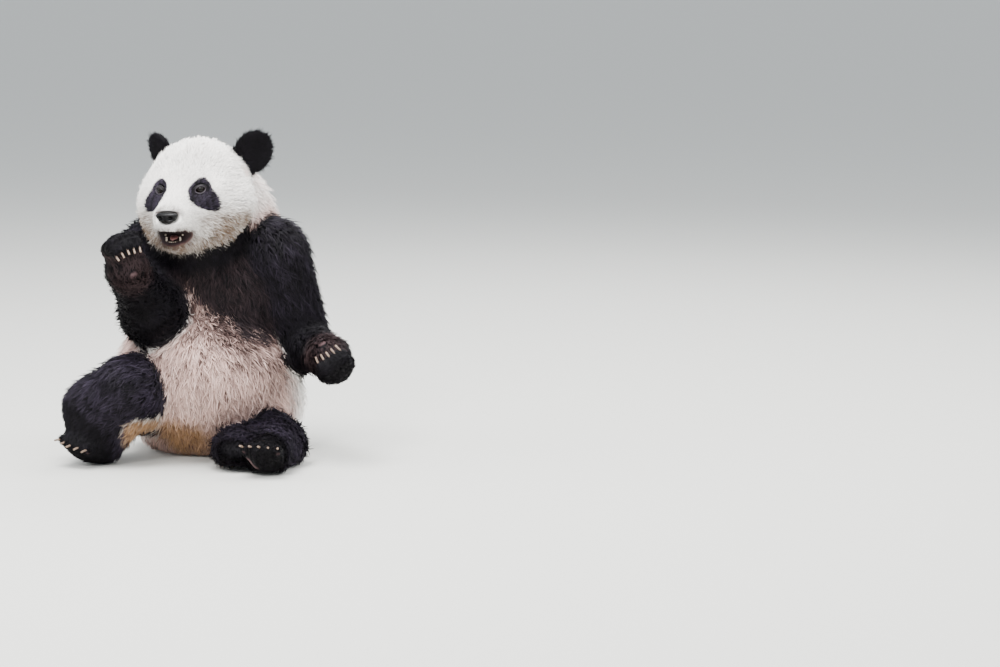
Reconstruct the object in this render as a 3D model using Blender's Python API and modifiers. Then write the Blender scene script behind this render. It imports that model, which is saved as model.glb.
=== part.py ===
# Giant panda, life size, sitting on its rump with one forepaw raised beside its mouth.
# Units are metres. +Z is up, the face and belly look along -Y, and the panda's left is +X.
# Every surface stands where the tips of the coat are. Each named part is a closed solid, and
# neighbours meet across a gap of SEAM.
import math

import bmesh
import bpy
import numpy as np
from mathutils import Euler, Matrix, Vector

# ---------------------------------------------------------------- driving dimensions
HEAD_WIDTH = 0.312          # across the cheeks, coat included
HEAD_HEIGHT = 0.302         # crown to chin
MUZZLE_WIDTH = 0.112
TRUNK_WIDTH = 0.510         # across the flanks
TRUNK_DEPTH = 0.490         # belly to back
UPPER_ARM_RADIUS = 0.107
FOREARM_RADIUS = 0.082
WRIST_RADIUS = 0.054
THIGH_RADIUS = {"right": 0.116, "left": 0.092}
SHANK_RADIUS = {"right": 0.092, "left": 0.068}
ANKLE_RADIUS = {"right": 0.078, "left": 0.054}
DIGIT_RADIUS = 0.0140
FINGER_PITCH = 0.0190       # between neighbouring digits of a forepaw
TOE_PITCH = 0.0190
CLAW_LENGTH = 0.022
CLAW_RADIUS = 0.0045
EYEBALL_RADIUS = 0.0125
EYEBALL_SHOWS = 0.0035      # how far the eyeball stands out of the coat round it
EAR_RADIUS = 0.057
EAR_THICKNESS = 0.038
NOSE_SIZE = Vector((0.066, 0.034, 0.031))
TAIL_LENGTH = 0.085
TOOTH_LENGTH = 0.009
TOOTH_RADIUS = 0.0035

SEAM = 0.0008               # gap between neighbouring solids
BLEND = 0.012               # how far neighbouring masses melt into each other
LIMB_BLEND = 0.007          # less on the limbs, so that the digits stay apart
FLOOR_SIZE = 2.0            # side of the blocks that trim the parts

# ---------------------------------------------------------------- joints of the pose
HEAD_CENTRE = Vector((0.006, -0.083, 0.708))
HEAD_ROLL = math.radians(-2.5)      # the left ear is carried a little higher
HEAD_YAW = math.radians(-2.5)       # the face turns a little to the panda's right
SHOULDER = {"right": Vector((-0.140, 0.020, 0.535)), "left": Vector((0.172, 0.065, 0.540))}
ELBOW = {"right": Vector((-0.077, -0.166, 0.398)), "left": Vector((0.228, 0.110, 0.298))}
FOREPAW = {"right": Vector((-0.092, -0.338, 0.574)), "left": Vector((0.388, -0.066, 0.264))}
HIP = {"right": Vector((-0.110, 0.020, 0.135)), "left": Vector((0.120, 0.020, 0.078))}
KNEE = {"right": Vector((-0.121, -0.212, 0.206)), "left": Vector((0.252, -0.110, 0.056))}
ANKLE = {"right": Vector((-0.220, -0.214, 0.076)), "left": Vector((0.262, -0.236, 0.052))}
FOREPAW_ALONG = {"right": (-0.10, -0.38, 0.92), "left": (0.53, -0.77, -0.34)}
FOREPAW_PALM = {"right": (0.66, -0.72, -0.23), "left": (-0.27, -0.53, 0.78)}
FOOT_ALONG = {"right": (-0.38, -0.92, -0.08), "left": (0.08, -0.92, 0.36)}
FOOT_SOLE = {"right": (-0.20, 0.10, -1.00), "left": (0.00, -0.35, -0.94)}
CALF = {"right": Vector((-0.217, -0.190, 0.137)), "left": Vector((0.163, -0.170, 0.053))}
CALF_RADII = {"right": Vector((0.104, 0.088, 0.104)), "left": Vector((0.078, 0.100, 0.060))}
SIDES = {"left": 1, "right": -1}

# Planes that part the trunk and head: a point on each, and the direction of its upper side.
HEAD_PLANE = (Vector((0, -0.030, 0.680)), Vector((0, -0.80, 0.59)))
NECK_PLANE = (Vector((0, 0.020, 0.592)), Vector((0, -0.37, 0.93)))
CHEST_PLANE = (Vector((0, 0, 0.446)), Vector((0, -0.105, 0.994)))
FLOOR_PLANE = (Vector((0, 0, 0)), Vector((0, 0, 1)))

# ---------------------------------------------------------------- coat and skin colours
COLOURS = {
    "white_coat": ((0.80, 0.74, 0.64), 0.85),
    "belly_coat": ((0.55, 0.45, 0.36), 0.85),
    "black_coat": ((0.020, 0.017, 0.018), 0.80),
    "nose_skin": ((0.015, 0.014, 0.015), 0.35),
    "eye_surface": ((0.020, 0.012, 0.008), 0.08),
    "tongue_skin": ((0.45, 0.17, 0.15), 0.45),
}

# ---------------------------------------------------------------- an empty scene
for old in list(bpy.data.objects):
    bpy.data.objects.remove(old)

part_collection = bpy.data.collections.new("giant_panda")
tool_collection = bpy.data.collections.new("cutters")
for collection in (part_collection, tool_collection):
    bpy.context.scene.collection.children.link(collection)


def finish_material(name):
    colour, roughness = COLOURS[name]
    material = bpy.data.materials.get(name) or bpy.data.materials.new(name)
    material.use_nodes = True
    shader = material.node_tree.nodes["Principled BSDF"]
    shader.inputs["Base Color"].default_value = (*colour, 1)
    shader.inputs["Roughness"].default_value = roughness
    return material


# ---------------------------------------------------------------- masses of flesh and coat
def egg(centre, radii, turn=(0, 0, 0)):
    """An egg-shaped mass: centre, half sizes, and its turn about X, Y and Z in degrees."""
    axes = Euler([math.radians(t) for t in turn]).to_matrix()
    return {"centre": Vector(centre), "radii": Vector(radii), "axes": axes}


def taper(start, end, start_radius, end_radius):
    """A round-ended length of limb that tapers from one radius to another."""
    return {"start": Vector(start), "end": Vector(end), "r0": start_radius, "r1": end_radius}


def head_turn():
    return Matrix.Rotation(HEAD_YAW, 3, "Z") @ Matrix.Rotation(HEAD_ROLL, 3, "Y")


def on_head(side, forward, up):
    """A point in the panda's frame from one measured on the head: left, ahead and above its centre."""
    return HEAD_CENTRE + head_turn() @ Vector((side, -forward, up))


def head_egg(side, forward, up, radii):
    return egg(on_head(side, forward, up), radii, (0, math.degrees(HEAD_ROLL), math.degrees(HEAD_YAW)))


def trunk_masses():
    half_width, half_depth = TRUNK_WIDTH / 2, TRUNK_DEPTH / 2
    return [
        egg((0, 0.075, 0.150), (half_width, 0.86 * half_depth, 0.200)),              # rump
        egg((0, -0.035, 0.235), (0.88 * half_width, 0.80 * half_depth, 0.180)),      # belly
        egg((0, 0.085, 0.310), (0.88 * half_width, 0.70 * half_depth, 0.200)),       # loins
        egg((0, 0.050, 0.430), (0.80 * half_width, 0.72 * half_depth, 0.190)),       # ribs
        egg((0, 0.090, 0.555), (0.84 * half_width, 0.56 * half_depth, 0.130)),       # withers
        taper((0.008, 0.085, 0.635), (0, -0.030, 0.690), 0.160, 0.142),              # neck
        taper((0, -0.020, 0.480), (0, -0.070, 0.610), 0.118, 0.110),                 # throat
    ]


def head_masses():
    half_width, half_height = HEAD_WIDTH / 2, HEAD_HEIGHT / 2
    half_muzzle = MUZZLE_WIDTH / 2
    masses = [
        head_egg(0.001, -0.048, 0.022, (0.80 * half_width, 0.122, 0.82 * half_height)),   # cranium
        head_egg(0, 0.092, -0.052, (half_muzzle, 0.086, 0.044)),                      # muzzle
        head_egg(0, 0.133, -0.058, (0.046, 0.046, 0.036)),                            # lips
        taper(on_head(0, 0.055, 0.006), on_head(0, 0.143, -0.037), 0.048, 0.031),     # bridge
        head_egg(0, 0.090, -0.113, (0.048, 0.075, 0.030)),                            # lower jaw
        head_egg(0, 0.014, -0.086, (0.110, 0.104, 0.066)),                            # chin ruff
    ]
    for side in SIDES.values():
        masses.append(head_egg(side * 0.062, -0.014, -0.030, (0.094, 0.104, 0.096)))   # cheek
    return masses


def limb_frame(along, palm):
    """Unit vectors of a paw: towards the knuckles, out of the palm, and across it."""
    along = Vector(along).normalized()
    palm = Vector(palm)
    palm = (palm - palm.dot(along) * along).normalized()
    return along, palm, along.cross(palm)


def finger_joints(side):
    """Knuckle, bend and tip of the five digits of a half-closed forepaw."""
    centre = FOREPAW[side]
    along, palm, across = limb_frame(FOREPAW_ALONG[side], FOREPAW_PALM[side])
    joints = []
    for digit in range(-2, 3):
        knuckle = centre + FINGER_PITCH * digit * across + (0.034 - 0.003 * abs(digit)) * along
        bend = knuckle + 0.015 * along + 0.028 * palm - 0.001 * digit * across
        tip = bend - 0.010 * along + 0.015 * palm - 0.001 * digit * across
        joints.append((knuckle, bend, tip))
    return joints


def toe_joints(side):
    """Root and tip of the five toes of a hind foot."""
    ankle = ANKLE[side]
    along, sole, across = limb_frame(FOOT_ALONG[side], FOOT_SOLE[side])
    joints = []
    for toe in range(-2, 3):
        root = ankle + TOE_PITCH * toe * across + 0.060 * along + 0.010 * sole
        tip = root + 0.003 * toe * across + (0.034 - 0.003 * abs(toe)) * along - 0.004 * sole
        joints.append((root, tip))
    return joints


def wrist_of(side):
    along = Vector(FOREPAW_ALONG[side]).normalized()
    return FOREPAW[side] - 0.052 * along


def arm_masses(side):
    wrist, paw = wrist_of(side), FOREPAW[side]
    along = Vector(FOREPAW_ALONG[side]).normalized()
    masses = [
        taper(SHOULDER[side], ELBOW[side], UPPER_ARM_RADIUS, 0.86 * UPPER_ARM_RADIUS),
        taper(ELBOW[side], wrist, FOREARM_RADIUS, WRIST_RADIUS),
        taper(wrist, paw + 0.010 * along, WRIST_RADIUS, 0.046),
    ]
    for knuckle, bend, tip in finger_joints(side):
        masses.append(taper(knuckle, bend, 1.15 * DIGIT_RADIUS, DIGIT_RADIUS))
        masses.append(taper(bend, tip, DIGIT_RADIUS, 0.78 * DIGIT_RADIUS))
    return masses


def leg_masses(side):
    hip, knee, ankle = HIP[side], KNEE[side], ANKLE[side]
    along, sole, _ = limb_frame(FOOT_ALONG[side], FOOT_SOLE[side])
    masses = [
        taper(hip, knee, THIGH_RADIUS[side], SHANK_RADIUS[side]),
        taper(knee, ankle, SHANK_RADIUS[side], ANKLE_RADIUS[side]),
        egg(CALF[side], CALF_RADII[side]),
        taper(knee, CALF[side], 0.95 * SHANK_RADIUS[side], 0.95 * CALF_RADII[side].z),
        taper(ankle + 0.010 * sole, ankle + 0.058 * along + 0.012 * sole, 0.052, 0.040),
    ]
    for root, tip in toe_joints(side):
        masses.append(taper(root, tip, 1.20 * DIGIT_RADIUS, DIGIT_RADIUS))
    return masses


# ---------------------------------------------------------------- from masses to one smooth mesh
def distances(points, mass):
    """Signed distance of each point from the mass, negative inside it."""
    if "radii" in mass:
        local = (points - np.array(mass["centre"])) @ np.array(mass["axes"])
        radii = np.array(mass["radii"])
        unit = np.linalg.norm(local / radii, axis=1)
        slope = np.linalg.norm(local / radii**2, axis=1)
        return unit * (unit - 1) / np.maximum(slope, 1e-9)
    start, span = np.array(mass["start"]), np.array(mass["end"] - mass["start"])
    share = np.clip((points - start) @ span / (span @ span), 0, 1)
    reach = np.linalg.norm(points - start - share[:, None] * span, axis=1)
    return reach - (mass["r0"] + share * (mass["r1"] - mass["r0"]))


def blended(points, masses, blend=BLEND):
    """Distance from all the masses melted together."""
    total = sum(np.exp(-distances(points, mass) / blend) for mass in masses)
    return -blend * np.log(np.maximum(total, 1e-300))


def slope_of(points, masses, blend, step=5e-4):
    here = blended(points, masses, blend)
    ahead = [(blended(points + step * axis, masses, blend) - here) / step for axis in np.eye(3)]
    return here, np.stack(ahead, axis=1)


def melt(points, masses, blend, passes=4):
    """Moves points along the slope of the blended distance until they lie on its zero surface."""
    for _ in range(passes):
        here, slope = slope_of(points, masses, blend)
        points = points - (here / np.maximum((slope**2).sum(axis=1), 0.2))[:, None] * slope
    return points


def surface_along(start, direction, masses, stride=0.0005, longest=0.4):
    """Where a straight line out of the masses meets their surface."""
    direction = Vector(direction).normalized()
    strides = np.arange(0, longest, stride)
    points = np.array(start) + strides[:, None] * np.array(direction)
    outside = blended(points, masses) > 0
    return Vector(points[np.argmax(outside)])


# ---------------------------------------------------------------- modelling helpers
def new_object(name, mesh, collection=part_collection):
    made = bpy.data.objects.new(name, mesh)
    collection.objects.link(made)
    return made


def tool_object(name, mesh):
    """A helper that is kept out of the render and drawn as wire."""
    made = new_object(name, mesh, tool_collection)
    made.hide_render = True
    made.display_type = "WIRE"
    return made


def drawn_mesh(name, draw):
    """A mesh filled by draw(bmesh)."""
    mesh = bpy.data.meshes.new(name)
    drawing = bmesh.new()
    draw(drawing)
    drawing.to_mesh(mesh)
    drawing.free()
    return mesh


def bake(obj):
    """Turns the object's modifiers into its mesh."""
    bpy.context.view_layer.update()
    graph = bpy.context.evaluated_depsgraph_get()
    obj.data = bpy.data.meshes.new_from_object(obj.evaluated_get(graph))
    obj.modifiers.clear()


def triangulate(obj):
    """Splits the many-sided faces that a cut leaves, so that each face is flat."""
    drawing = bmesh.new()
    drawing.from_mesh(obj.data)
    bmesh.ops.triangulate(drawing, faces=drawing.faces)
    drawing.to_mesh(obj.data)
    drawing.free()


def combine(obj, tool, operation):
    boolean = obj.modifiers.new(f"{operation.lower()}_{tool.name}", "BOOLEAN")
    boolean.operation = operation
    boolean.object = tool
    bake(obj)


def placed(centre, sizes, turn=None):
    turn = turn or Matrix.Identity(3)
    return Matrix.Translation(centre) @ turn.to_4x4() @ Matrix.Diagonal((*sizes, 1))


def add_ball(drawing, matrix, segments=32):
    bmesh.ops.create_uvsphere(
        drawing, u_segments=segments, v_segments=segments // 2, radius=1, matrix=matrix
    )


def add_cone(drawing, start, end, start_radius, end_radius, segments=32):
    span = end - start
    turn = span.to_track_quat("Z", "Y").to_matrix().to_4x4()
    bmesh.ops.create_cone(
        drawing, cap_ends=True, segments=segments, radius1=start_radius, radius2=end_radius,
        depth=span.length, matrix=Matrix.Translation((start + end) / 2) @ turn,
    )


def add_mass(drawing, mass):
    """Draws one mass as closed primitives."""
    if "radii" in mass:
        add_ball(drawing, placed(mass["centre"], mass["radii"], mass["axes"]))
        return
    add_cone(drawing, mass["start"], mass["end"], mass["r0"], mass["r1"])
    for end, radius in ((mass["start"], mass["r0"]), (mass["end"], mass["r1"])):
        add_ball(drawing, placed(end, (radius, radius, radius)))


def smooth_body(name, masses, triangles, voxel, blend=BLEND):
    """One closed mesh round all the masses: a blocky union, melted smooth and then thinned out."""
    def draw(drawing):
        for mass in masses:
            add_mass(drawing, mass)

    body = tool_object(name, drawn_mesh(name, draw))
    remesh = body.modifiers.new("union", "REMESH")
    remesh.mode = "VOXEL"
    remesh.voxel_size = voxel
    relax = body.modifiers.new("relax", "SMOOTH")
    relax.factor = 0.5
    relax.iterations = 4
    bake(body)
    points = np.array([v.co for v in body.data.vertices], float)
    body.data.vertices.foreach_set("co", melt(points, masses, blend).astype(np.float32).ravel())
    thin = body.modifiers.new("thin", "DECIMATE")
    thin.ratio = triangles / (2 * len(body.data.polygons))
    bake(body)
    return body


def grown(name, obj, by=SEAM):
    """A copy of a mesh whose surface stands a little outside the original."""
    copy = tool_object(name, obj.data.copy())
    swell = copy.modifiers.new("swell", "DISPLACE")
    swell.strength = by
    swell.mid_level = 0
    bake(copy)
    return copy


def block_below(name, plane, shift=SEAM / 2):
    """A large block that fills everything under a plane, and a hair more."""
    point, up = plane
    up = up.normalized()
    turn = up.to_track_quat("Z", "Y").to_matrix()
    centre = point + (shift - FLOOR_SIZE / 2) * up
    matrix = placed(centre, (FLOOR_SIZE,) * 3, turn)
    return tool_object(name, drawn_mesh(name, lambda d: bmesh.ops.create_cube(d, size=1, matrix=matrix)))


def cut_below(obj, plane, shift=SEAM / 2):
    combine(obj, block_below(f"below_{obj.name}", plane, shift), "DIFFERENCE")


def cut_above(obj, plane):
    point, up = plane
    combine(obj, block_below(f"above_{obj.name}", (point, -up)), "DIFFERENCE")


def keep_largest(obj):
    """Drops crumbs that a cut has left loose."""
    drawing = bmesh.new()
    drawing.from_mesh(obj.data)
    islands, waiting = [], set(drawing.verts)
    while waiting:
        front = [waiting.pop()]
        island = set(front)
        while front:
            for edge in front.pop().link_edges:
                for vert in edge.verts:
                    if vert in waiting:
                        waiting.discard(vert)
                        island.add(vert)
                        front.append(vert)
        islands.append(island)
    islands.sort(key=len)
    loose = [vert for island in islands[:-1] for vert in island]
    bmesh.ops.delete(drawing, geom=loose, context="VERTS")
    drawing.to_mesh(obj.data)
    drawing.free()


def node(name, source, material):
    """A named part that starts as a copy of a body."""
    made = new_object(name, source.data.copy())
    made.data.materials.clear()
    made.data.materials.append(finish_material(material))
    return made


def finish(obj):
    keep_largest(obj)
    triangulate(obj)
    obj.data.shade_smooth()
    return obj


# ---------------------------------------------------------------- trunk, neck and head
core_masses = trunk_masses() + head_masses()
core = smooth_body("core", core_masses, 2160, 0.010)
core_clearance = grown("core_clearance", core)

abdomen = node("abdomen", core, "belly_coat")
cut_above(abdomen, CHEST_PLANE)
cut_below(abdomen, FLOOR_PLANE, 0)

chest = node("chest", core, "black_coat")
cut_below(chest, CHEST_PLANE)
cut_above(chest, NECK_PLANE)

neck = node("neck", core, "white_coat")
cut_below(neck, NECK_PLANE)
cut_above(neck, HEAD_PLANE)

head = node("head", core, "white_coat")
cut_below(head, HEAD_PLANE)
cut_below(head, NECK_PLANE)


# ---------------------------------------------------------------- open mouth and lower jaw
MOUTH_CORNER = (0.118, -0.093)      # forward and up, on the head
UPPER_LIP_LINE = (0.260, -0.062)    # where the line of the upper lip runs out in front
LOWER_LIP_LINE = (0.260, -0.166)
JAW_ROOT = (0.058, -0.220)          # where the cut behind the jaw leaves the throat
MOUTH_HALF_WIDTH = 0.20


def head_slab(name, outline):
    """A block across the head whose side view is an outline of (forward, up) points."""
    curve = bpy.data.curves.new(name, "CURVE")
    curve.dimensions = "2D"
    curve.fill_mode = "BOTH"
    curve.extrude = MOUTH_HALF_WIDTH
    spline = curve.splines.new("POLY")
    spline.points.add(len(outline) - 1)
    for point, (forward, up) in zip(spline.points, outline):
        point.co = (-forward, up, 0, 1)
    spline.use_cyclic_u = True
    drawn = new_object(name, curve, tool_collection)
    upright = Matrix(((0, 0, 1), (1, 0, 0), (0, 1, 0)))     # the outline's plane becomes Y and Z
    drawn.matrix_world = Matrix.Translation(HEAD_CENTRE) @ (head_turn() @ upright).to_4x4()
    bpy.context.view_layer.update()
    mesh = bpy.data.meshes.new_from_object(drawn.evaluated_get(bpy.context.evaluated_depsgraph_get()))
    mesh.transform(drawn.matrix_world)
    bpy.data.objects.remove(drawn)
    welded = bmesh.new()
    welded.from_mesh(mesh)
    bmesh.ops.remove_doubles(welded, verts=welded.verts, dist=1e-5)
    bmesh.ops.recalc_face_normals(welded, faces=welded.faces)
    welded.to_mesh(mesh)
    welded.free()
    return tool_object(name, mesh)


chin_front = (LOWER_LIP_LINE[0], JAW_ROOT[1])
mouth_and_jaw = head_slab("mouth_and_jaw", [MOUTH_CORNER, UPPER_LIP_LINE, chin_front, JAW_ROOT])
seam_shift = 2 * SEAM
jaw_block = head_slab("jaw_block", [
    (MOUTH_CORNER[0] + seam_shift, MOUTH_CORNER[1] - seam_shift),
    LOWER_LIP_LINE,
    chin_front,
    (JAW_ROOT[0] + seam_shift, JAW_ROOT[1]),
])
lower_jaw = node("lower_jaw", core, "white_coat")
combine(lower_jaw, jaw_block, "INTERSECT")
cut_below(lower_jaw, NECK_PLANE)
combine(head, mouth_and_jaw, "DIFFERENCE")


# ---------------------------------------------------------------- teeth and tongue
def slope_height(lip_line, forward):
    """Height of the mouth's roof or floor at a distance forward of the head's centre."""
    share = (forward - MOUTH_CORNER[0]) / (lip_line[0] - MOUTH_CORNER[0])
    return MOUTH_CORNER[1] + share * (lip_line[1] - MOUTH_CORNER[1])


def canines(name, forward, half_gap, lip_line, up):
    """Two pointed teeth that stand out of the mouth's roof (up = -1) or floor (up = 1)."""
    root = slope_height(lip_line, forward) - 0.003 * up

    def draw(drawing):
        for sign in SIDES.values():
            start = on_head(sign * half_gap, forward, root)
            tip = on_head(sign * half_gap, forward, root + (0.003 + TOOTH_LENGTH) * up)
            add_cone(drawing, start, tip, TOOTH_RADIUS, 0.0008, 8)

    return tool_object(name, drawn_mesh(name, draw))


combine(head, canines("upper_canines", 0.136, 0.024, UPPER_LIP_LINE, -1), "UNION")
combine(lower_jaw, canines("lower_canines", 0.142, 0.019, LOWER_LIP_LINE, 1), "UNION")

tongue_centre = on_head(0, 0.126, slope_height(LOWER_LIP_LINE, 0.126) + 0.001)
tongue_mesh = drawn_mesh("tongue", lambda d: add_ball(
    d, placed(tongue_centre, (0.013, 0.032, 0.005), Matrix.Rotation(math.radians(14), 3, "X")), 14))
tongue_mesh.materials.append(finish_material("tongue_skin"))
tongue = new_object("tongue", tongue_mesh)
combine(tongue, grown("floor_of_mouth", lower_jaw), "DIFFERENCE")
combine(tongue, grown("roof_of_mouth", head), "DIFFERENCE")
finish(tongue)


# ---------------------------------------------------------------- eyes, nose and ears
def eye_of(side):
    """Eyeball, set so that only a little of it stands out of the coat."""
    gaze = head_turn() @ Vector((0.45 * SIDES[side], -0.89, 0.02))
    inside = on_head(0.022 * SIDES[side] + 0.0035, 0.020, 0.0185)
    front = surface_along(inside, gaze, core_masses)
    centre = front + (EYEBALL_SHOWS - EYEBALL_RADIUS) * gaze.normalized()
    name = f"eye_{side}"
    ball = drawn_mesh(name, lambda d: add_ball(d, placed(centre, (EYEBALL_RADIUS,) * 3), 10))
    ball.materials.append(finish_material("eye_surface"))
    return new_object(name, ball)


def nose_pad():
    """Broad bare nose, wider above than below, with two nostrils pressed into it."""
    pad = drawn_mesh("nose", lambda d: add_ball(d, Matrix.Identity(4), 14))
    half = NOSE_SIZE / 2
    for vert in pad.vertices:
        x, y, z = vert.co
        squared = Vector([math.copysign(abs(v) ** 0.8, v) for v in (x, y, z)])
        width = 1.0 + 0.30 * squared.z
        pit = math.exp(-((abs(x) - 0.50) ** 2 + (z + 0.05) ** 2) / 0.05) if y < 0 else 0.0
        vert.co = Vector((squared.x * width * half.x, squared.y * half.y, squared.z * half.z))
        vert.co.y += 0.007 * pit
    front = on_head(0, 0.177, -0.045)
    pad.transform(Matrix.Translation(front) @ head_turn().to_4x4())
    pad.materials.append(finish_material("nose_skin"))
    return new_object("nose", pad)


def ear_of(side):
    """Round upright ear, hollowed on the side that faces forwards and outwards."""
    name, sign = f"ear_{side}", SIDES[side]
    mesh = drawn_mesh(name, lambda d: add_ball(d, Matrix.Identity(4), 16))
    for vert in mesh.vertices:
        x, y, z = vert.co
        rim = math.hypot(x, z)
        hollow = 0.55 * max(0.0, 1 - (rim / 0.80) ** 2) if y < 0 else 0.0
        vert.co = Vector((x * EAR_RADIUS, (y + hollow) * EAR_THICKNESS / 2, z * 1.08 * EAR_RADIUS))
    faces = Matrix.Rotation(sign * math.radians(40), 3, "Z")
    leans = Matrix.Rotation(sign * math.radians(22), 3, "Y")
    centre = on_head(sign * 0.130 + 0.006, -0.100, 0.102)
    mesh.transform(Matrix.Translation(centre) @ (head_turn() @ leans @ faces).to_4x4())
    mesh.materials.append(finish_material("black_coat"))
    ear = new_object(name, mesh)
    combine(ear, core_clearance, "DIFFERENCE")
    return finish(ear)


nose = nose_pad()
nose_clearance = grown("nose_clearance", nose)
combine(head, nose_clearance, "DIFFERENCE")
for side in SIDES:
    eye = eye_of(side)
    combine(head, grown(f"socket_{side}", eye), "DIFFERENCE")
    finish(eye)
    ear_of(side)
finish(nose)
for part in (abdomen, chest, neck, head, lower_jaw):
    finish(part)


# ---------------------------------------------------------------- tail
def tail():
    """Short flat tail that lies on the floor behind the rump."""
    root = Vector((0, 0.225, 0.058))
    masses = [taper(root, root + Vector((0, TAIL_LENGTH, -0.032)), 0.052, 0.034)]
    body = smooth_body("tail_body", masses, 100, 0.006)
    made = node("tail", body, "white_coat")
    combine(made, core_clearance, "DIFFERENCE")
    cut_below(made, FLOOR_PLANE, 0)
    return finish(made)


tail()


# ---------------------------------------------------------------- limbs
def claw_cones(name, joints):
    """Five stout claws, one out of each digit's last joint."""
    def draw(drawing):
        for inner, tip in joints:
            ahead = (tip - inner).normalized()
            start = tip + 0.25 * DIGIT_RADIUS * ahead
            add_cone(drawing, start, start + CLAW_LENGTH * ahead, CLAW_RADIUS, 0.0008, 6)

    return tool_object(name, drawn_mesh(name, draw))


def joint_plane(joint, before, after):
    """The plane through a joint that halves its bend, with the far side up."""
    return joint, (joint - before).normalized() + (after - joint).normalized()


def part_limb(body, names, planes, claws):
    """Clears a whole limb of the trunk, parts it at its two joints and adds its claws."""
    combine(body, core_clearance, "DIFFERENCE")
    keep_largest(body)
    cut_below(body, FLOOR_PLANE, 0)
    upper, lower, paw = [node(name, body, "black_coat") for name in names]
    cut_above(upper, planes[0])
    cut_below(lower, planes[0])
    cut_above(lower, planes[1])
    cut_below(paw, planes[1])
    combine(paw, claws, "UNION")
    for part in (upper, lower, paw):
        finish(part)


for side in SIDES:
    wrist = wrist_of(side)
    part_limb(
        smooth_body(f"arm_{side}", arm_masses(side), 680, 0.004, LIMB_BLEND),
        [f"upper_arm_{side}", f"forearm_{side}", f"forepaw_{side}"],
        [joint_plane(ELBOW[side], SHOULDER[side], wrist), joint_plane(wrist, ELBOW[side], FOREPAW[side])],
        claw_cones(f"claws_fore_{side}", [(bend, tip) for _, bend, tip in finger_joints(side)]),
    )
    along = Vector(FOOT_ALONG[side]).normalized()
    part_limb(
        smooth_body(f"leg_{side}", leg_masses(side), 590, 0.005, LIMB_BLEND),
        [f"thigh_{side}", f"shank_{side}", f"hind_paw_{side}"],
        [joint_plane(KNEE[side], HIP[side], ANKLE[side]),
         joint_plane(ANKLE[side], KNEE[side], ANKLE[side] + 0.1 * along)],
        claw_cones(f"claws_hind_{side}", toe_joints(side)),
    )
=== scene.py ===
# %% [markdown]
# # A sitting giant panda
#
# This lesson dresses a life-size model of a giant panda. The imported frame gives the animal's solids,
# whose surfaces stand where the tips of the coat are. The looks are built in three layers: one skin
# that lies inside those solids by the depth of the coat, a coat of many thin tufts that grow out of
# that skin, and the hard or wet pieces that stay bare: eyes, lids, nose, teeth, tongue and claws.

# %% Load the frame
import math

import bmesh
import bpy
import numpy as np
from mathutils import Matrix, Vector, noise
from mathutils.bvhtree import BVHTree
from mathutils.kdtree import KDTree


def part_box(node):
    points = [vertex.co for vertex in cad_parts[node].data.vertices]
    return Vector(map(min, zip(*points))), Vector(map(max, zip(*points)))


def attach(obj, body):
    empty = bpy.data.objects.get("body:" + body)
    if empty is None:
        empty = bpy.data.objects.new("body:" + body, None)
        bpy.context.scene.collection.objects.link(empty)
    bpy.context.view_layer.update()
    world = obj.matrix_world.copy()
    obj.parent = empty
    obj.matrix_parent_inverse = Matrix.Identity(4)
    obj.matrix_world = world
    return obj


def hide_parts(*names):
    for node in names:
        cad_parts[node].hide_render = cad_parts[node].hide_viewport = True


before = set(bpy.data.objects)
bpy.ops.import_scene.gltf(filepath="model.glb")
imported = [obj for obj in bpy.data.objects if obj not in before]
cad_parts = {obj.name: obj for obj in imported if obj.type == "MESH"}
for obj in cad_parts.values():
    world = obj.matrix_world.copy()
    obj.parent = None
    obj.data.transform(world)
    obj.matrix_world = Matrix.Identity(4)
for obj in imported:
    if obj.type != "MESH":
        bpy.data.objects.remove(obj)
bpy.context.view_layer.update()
chance = np.random.default_rng(11)
print("frame:", len(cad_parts), "nodes")

# %% [markdown]
# ## Camera, floor and light
#
# The camera stands about eight metres away with a long lens, a little above the animal's head and a
# little to its left, so the face is seen in three-quarter view. The animal keeps to the left of the
# view, and the camera's aim is a distance to the right of, and above, the spot that it sits on. The
# floor is plain and pale. Five large soft lamps under a pale sky stand in for daylight: the
# strongest hangs high overhead, and one skims the animal's left side to lift the black coat off
# the ground behind it. A sixth, small lamp puts a glint in each eye.

# %% Things that stand in the scene
def direction_to(azimuth, elevation):
    """Unit vector from the object towards a viewer."""
    return Vector((
        math.sin(azimuth) * math.cos(elevation),
        -math.cos(azimuth) * math.cos(elevation),
        math.sin(elevation),
    ))


def new_object(name, data):
    made = bpy.data.objects.new(name, data)
    bpy.context.scene.collection.objects.link(made)
    return made


def set_up(name, data, place, away):
    """A camera or lamp at a place, which looks in the opposite direction to away."""
    made = new_object(name, data)
    made.location = place
    made.rotation_mode = "QUATERNION"
    made.rotation_quaternion = (-away).to_track_quat("-Z", "Y")
    return made


# %% Camera
CAMERA_AZIMUTH = math.radians(14.23)    # towards the animal's left
CAMERA_ELEVATION = math.radians(8.0)
CAMERA_DISTANCE = 7.883                 # metres
AIM_RIGHT, AIM_UP = 0.797, 0.323        # from the seat to the middle of the view
LENS = 105
towards_camera = direction_to(CAMERA_AZIMUTH, CAMERA_ELEVATION)
view_right = Vector((math.cos(CAMERA_AZIMUTH), math.sin(CAMERA_AZIMUTH), 0))
view_up = towards_camera.cross(view_right)
camera_place = AIM_RIGHT * view_right + AIM_UP * view_up + CAMERA_DISTANCE * towards_camera
camera_data = bpy.data.cameras.new("camera")
camera_data.lens = LENS
camera = set_up("camera", camera_data, camera_place, towards_camera)
bpy.context.scene.camera = camera


# %% Colour and node helpers
def linear(hex_colour):
    """Linear RGBA of an sRGB colour such as "#a0522d"."""
    values = [int(hex_colour[i:i + 2], 16) / 255 for i in (1, 3, 5)]
    return (*[v / 12.92 if v <= 0.04045 else ((v + 0.055) / 1.055) ** 2.4 for v in values], 1)


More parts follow.
